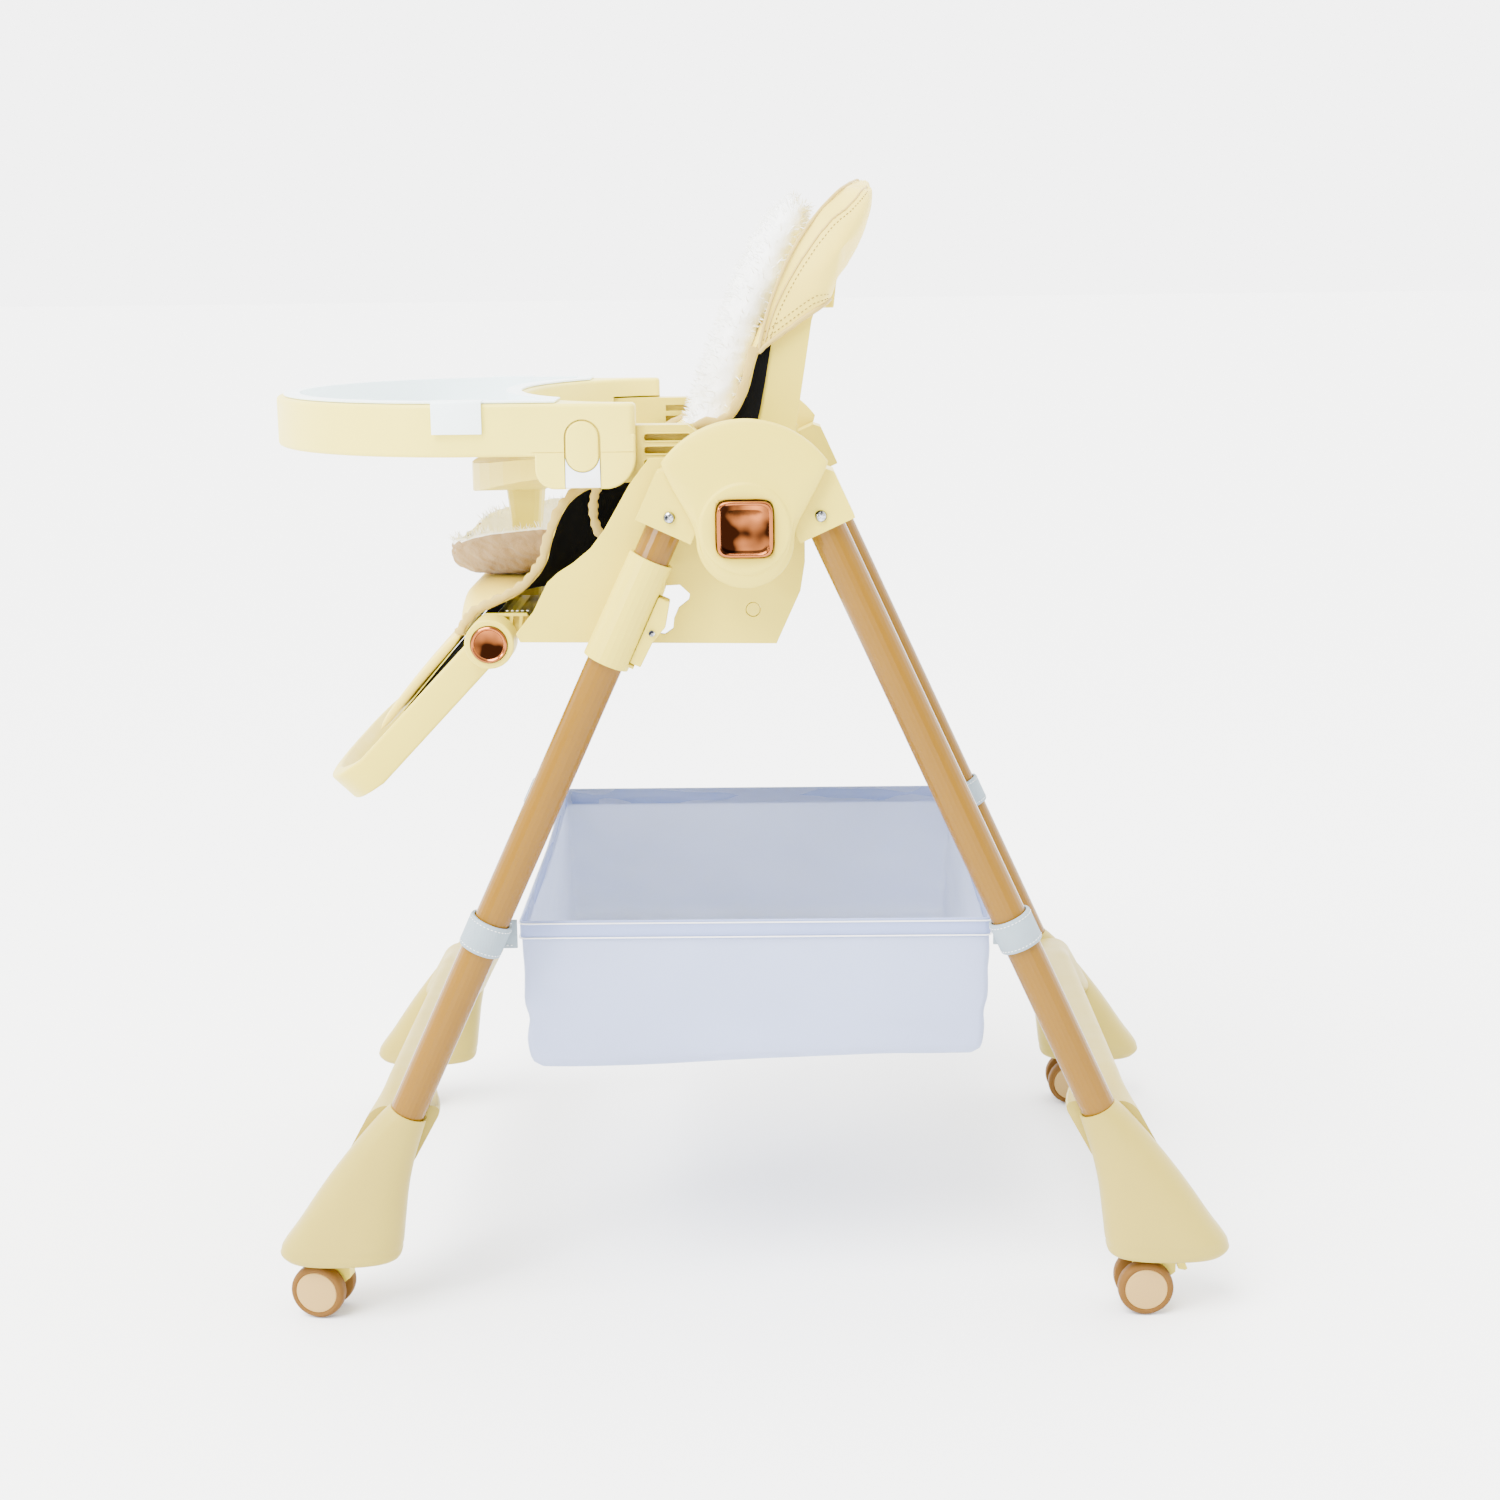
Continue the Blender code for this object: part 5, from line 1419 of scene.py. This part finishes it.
def build_hood_seams(hood, stations):
    """Piping along the front edge, the stitched flank seam and the stitched hem, on both sides."""
    seam_line = spline([(0.1170, 1.0000), (0.0985, 0.9800), (0.0820, 0.9660), (0.0640, 0.9440),
                        (0.0460, 0.9170), (0.0325, 0.8900), (0.0245, 0.8650)], 46)
    seam = [on_flank(y, z, stations, 0.0002) for y, z in seam_line]
    beside = [on_flank(y + 0.0035, z - 0.0030, stations, 0.0005) for y, z in seam_line[2:-1]]
    edge = [hood_side(0.004, s) for s in stations[:-3]]
    hem = [hood_side(0.02 + 0.93 * k / 39, stations[0], proud=0.0004) for k in range(40)]
    for side, word in ((1, "left"), (-1, "right")):
        def flip(path):
            return [Vector((side * p.x, p.y, p.z)) for p in path]

        for name, path, size in (("piping", edge, 0.0016), ("seam", seam, 0.0009),
                                 ("hem", hem, 0.0022)):
            path = laid_on(hood, flip(path), 0.0002)
            cord = sweep(f"hood_{name}_{word}", path, oval(size, size, 10), LEATHER_EDGE)
            place(cord, "backrest", "beige_leather")
        lines = [flip(beside)]
        for shift in (0.0060, 0.0110):
            lines.append([p + Vector((side * 0.0004, -0.45 * shift, 0.9 * shift))
                          for p in flip(hem[1:-2])])
        for k, line in enumerate(lines):
            line = laid_on(hood, line, 0.0003)
            place(dashes(f"hood_stitches_{k}_{word}", line, STITCH, 0.0028, 0.0042, 0.00045),
                  "backrest", "beige_leather")


# ---------------------------------------------------------------- calf pad
def build_calf_pad():
    """Calf mat that hangs from the seat's front edge over the footrest's arms."""
    start, end = Vector((0, -0.2475, 0.6130)), rest_point(0.132, 0.0190, 0)
    outward = Vector((0, -0.743, 0.669))
    rings = []
    for k in range(44):
        t = k / 43
        middle = start.lerp(end, t)
        middle.y -= 0.0020 * sin(pi * t)
        fullness = (max(0.0, 1 - abs(2 * t - 1) ** 6)) ** 0.5
        half = 0.1895
        ring = []
        for a, b in oval(half, 0.0052 * max(0.15, fullness), 80, 6.0):
            quilt = 0.0012 * (abs(sin(a * 42)) ** 0.5 - 0.6) if b > 0 else 0.0
            ring.append(Vector((a, middle.y, middle.z)) + outward * (b + quilt * fullness))
        rings.append(ring)
    mat = skin("calf_mat", rings, LEATHER, smooth=80)
    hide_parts("calf_pad")
    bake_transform(mat)
    rows = []
    under_start, under_end = Vector((0, -0.2300, 0.6180)), rest_point(0.098, -0.0010, 0)
    for k in range(20):
        t = k / 19
        upper = start.lerp(end, 0.02 + 0.76 * t) + Vector((0, 0.0045, -0.0030))
        lower = under_start.lerp(under_end, t)
        rows.append([Vector((x, p.y, p.z)) for x, p in
                     ((-0.1850, lower), (-0.1868, upper.lerp(lower, 0.5)), (-0.1872, upper),
                      (0.1872, upper), (0.1868, upper.lerp(lower, 0.5)), (0.1850, lower))])
    lining = surface("calf_lining", rows, LINING, 0.0010, offset=0)
    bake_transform(lining)


# ---------------------------------------------------------------- crossbars
def crossbar_ring(leg, x):
    """Rounded section of a bar that flares into the foot at each end."""
    flare = smooth_step((abs(x) - 0.165) / 0.085)
    near, far = 0.2985 - 0.0060 * flare, 0.3410 + 0.0160 * flare
    low, high = 0.1660 - 0.0340 * flare, 0.2000 - 0.0070 * flare
    points = rounded_box(near, far, low, high, 0.0110, 8)
    ring = []
    for out, z in points:
        slant = (0.1660 - z) * 0.55 * flare
        ring.append(Vector((x, HUB_Y + leg.side * (out + slant), z)))
    return ring


def build_crossbars():
    for leg, word in ((FRONT, "front"), (REAR, "rear")):
        rings = [crossbar_ring(leg, -0.2500 + 0.5000 * k / 60) for k in range(61)]
        # The crossbars take the darker copy of the cream plastic, painted shade near the floor.
        bar = skin(f"{word}_spreader", rings, CREAM_SHADED, smooth=50)
        place(bar, BODY_OF_LEG[leg], "cream_plastic", f"{word}_crossbar")


# ---------------------------------------------------------------- small mouldings
def build_arm_grilles():
    """Shallow back of the slots in each armrest, with the raised rim of every slot."""
    for side, word in ((1, "left"), (-1, "right")):
        low, high = sorted((side * 0.1990, side * 0.2005))
        panel = box("panel", (low, -0.0820, 0.7480), (high, -0.0380, 0.7960), CREAM)
        pieces = []
        for k in range(4):
            z = 0.7500 + 0.0110 * k
            path = [Vector((side * 0.2147, y, h))
                    for y, h in rounded_box(-0.0806, -0.0394, z - 0.0006, z + 0.0066, 0.0030, 5)]
            pieces.append(sweep("rim", path, oval(0.0007, 0.0007, 8), CREAM,
                                up=Vector((1, 0, 0)), closed=True))
        grille = combine(panel, *pieces)
        grille.name = f"arm_grille_{word}"
        place(grille, "seat", "cream_plastic")


def build_grille():
    """Ribbed nose of the seat beside each footrest hub."""
    outline = [(-0.2340, 0.6180), (-0.2310, 0.6270), (-0.2250, 0.6315), (-0.1880, 0.6315),
               (-0.1800, 0.6150), (-0.2200, 0.6120)]
    for side, word in ((1, "left"), (-1, "right")):
        low, high = sorted((side * 0.1910, side * 0.1975))
        plate = extrusion("plate", outline, low, high, CREAM, "X", 0.0006, 2)
        low, high = sorted((side * 0.1930, side * 0.2100))
        for k in range(5):
            y = -0.2262 + 0.0085 * k
            slit = [(y, 0.6215), (y + 0.0012, 0.6293), (y + 0.0066, 0.6293), (y + 0.0054, 0.6150),
                    (y - 0.0002, 0.6150)]
            # The slit cutters carry the near-black painted shade.
            cut(plate, extrusion("slit", slit, low, high, RECESS_SHADE))
        plate.name = f"seat_nose_{word}"
        place(plate, "seat", "cream_plastic")


def build_sleeve_screws():
    profile = [(-0.0030, 0.0), (-0.0030, 0.0026), (0.0006, 0.0027), (0.0011, 0.0022), (0.0013, 0)]
    head = Vector((0.2716, SLEEVE_SCREW[0], SLEEVE_SCREW[1]))
    left = turned("sleeve_screw_left", profile, head, CHROME, 24)
    for slant in (20, 110):
        blade = box("blade", (0.0004, -0.0016, -0.0003), (0.004, 0.0016, 0.0003), CHROME)
        blade.data.transform(Matrix.Translation(head) @ Matrix.Rotation(radians(slant), 4, "X"))
        cut(left, blade)
    place(left, "seat", "chrome_screw")
    place(mirror(left, "sleeve_screw_right"), "seat", "chrome_screw")


# ---------------------------------------------------------------- kept nodes
def build_kept():
    for leg in ("front", "rear"):
        for side in ("left", "right"):
            polish(f"{leg}_leg_tube_{side}", TAN, 0.0003, 1)
            polish(f"{leg}_hub_socket_{side}", CREAM, 0.0018, 3)
    for side in ("left", "right"):
        polish(f"pivot_pin_{side}", CHROME, 0)
        polish(f"height_sleeve_{side}", CREAM, 0.0012, 3)
        polish(f"height_lever_{side}", CREAM, 0.0012, 3)
    polish("seat_shell", CREAM, 0.0012, 3)
    polish("arm_frame", CREAM, 0.0014, 3)
    polish("backrest_frame", CREAM, 0.0012, 3)
    polish("recline_handle", CREAM, 0.0016, 3)


build_camera()
build_studio()
build_kept()
build_feet()
build_hub_cover()
build_fold_buttons()
build_screws()
build_casters()
build_tray()
build_insert()
build_footrest_bow()
build_straps()
build_basket()
build_sling()
build_liner()
build_hood()
build_calf_pad()
build_crossbars()
build_arm_grilles()
build_grille()
build_sleeve_screws()
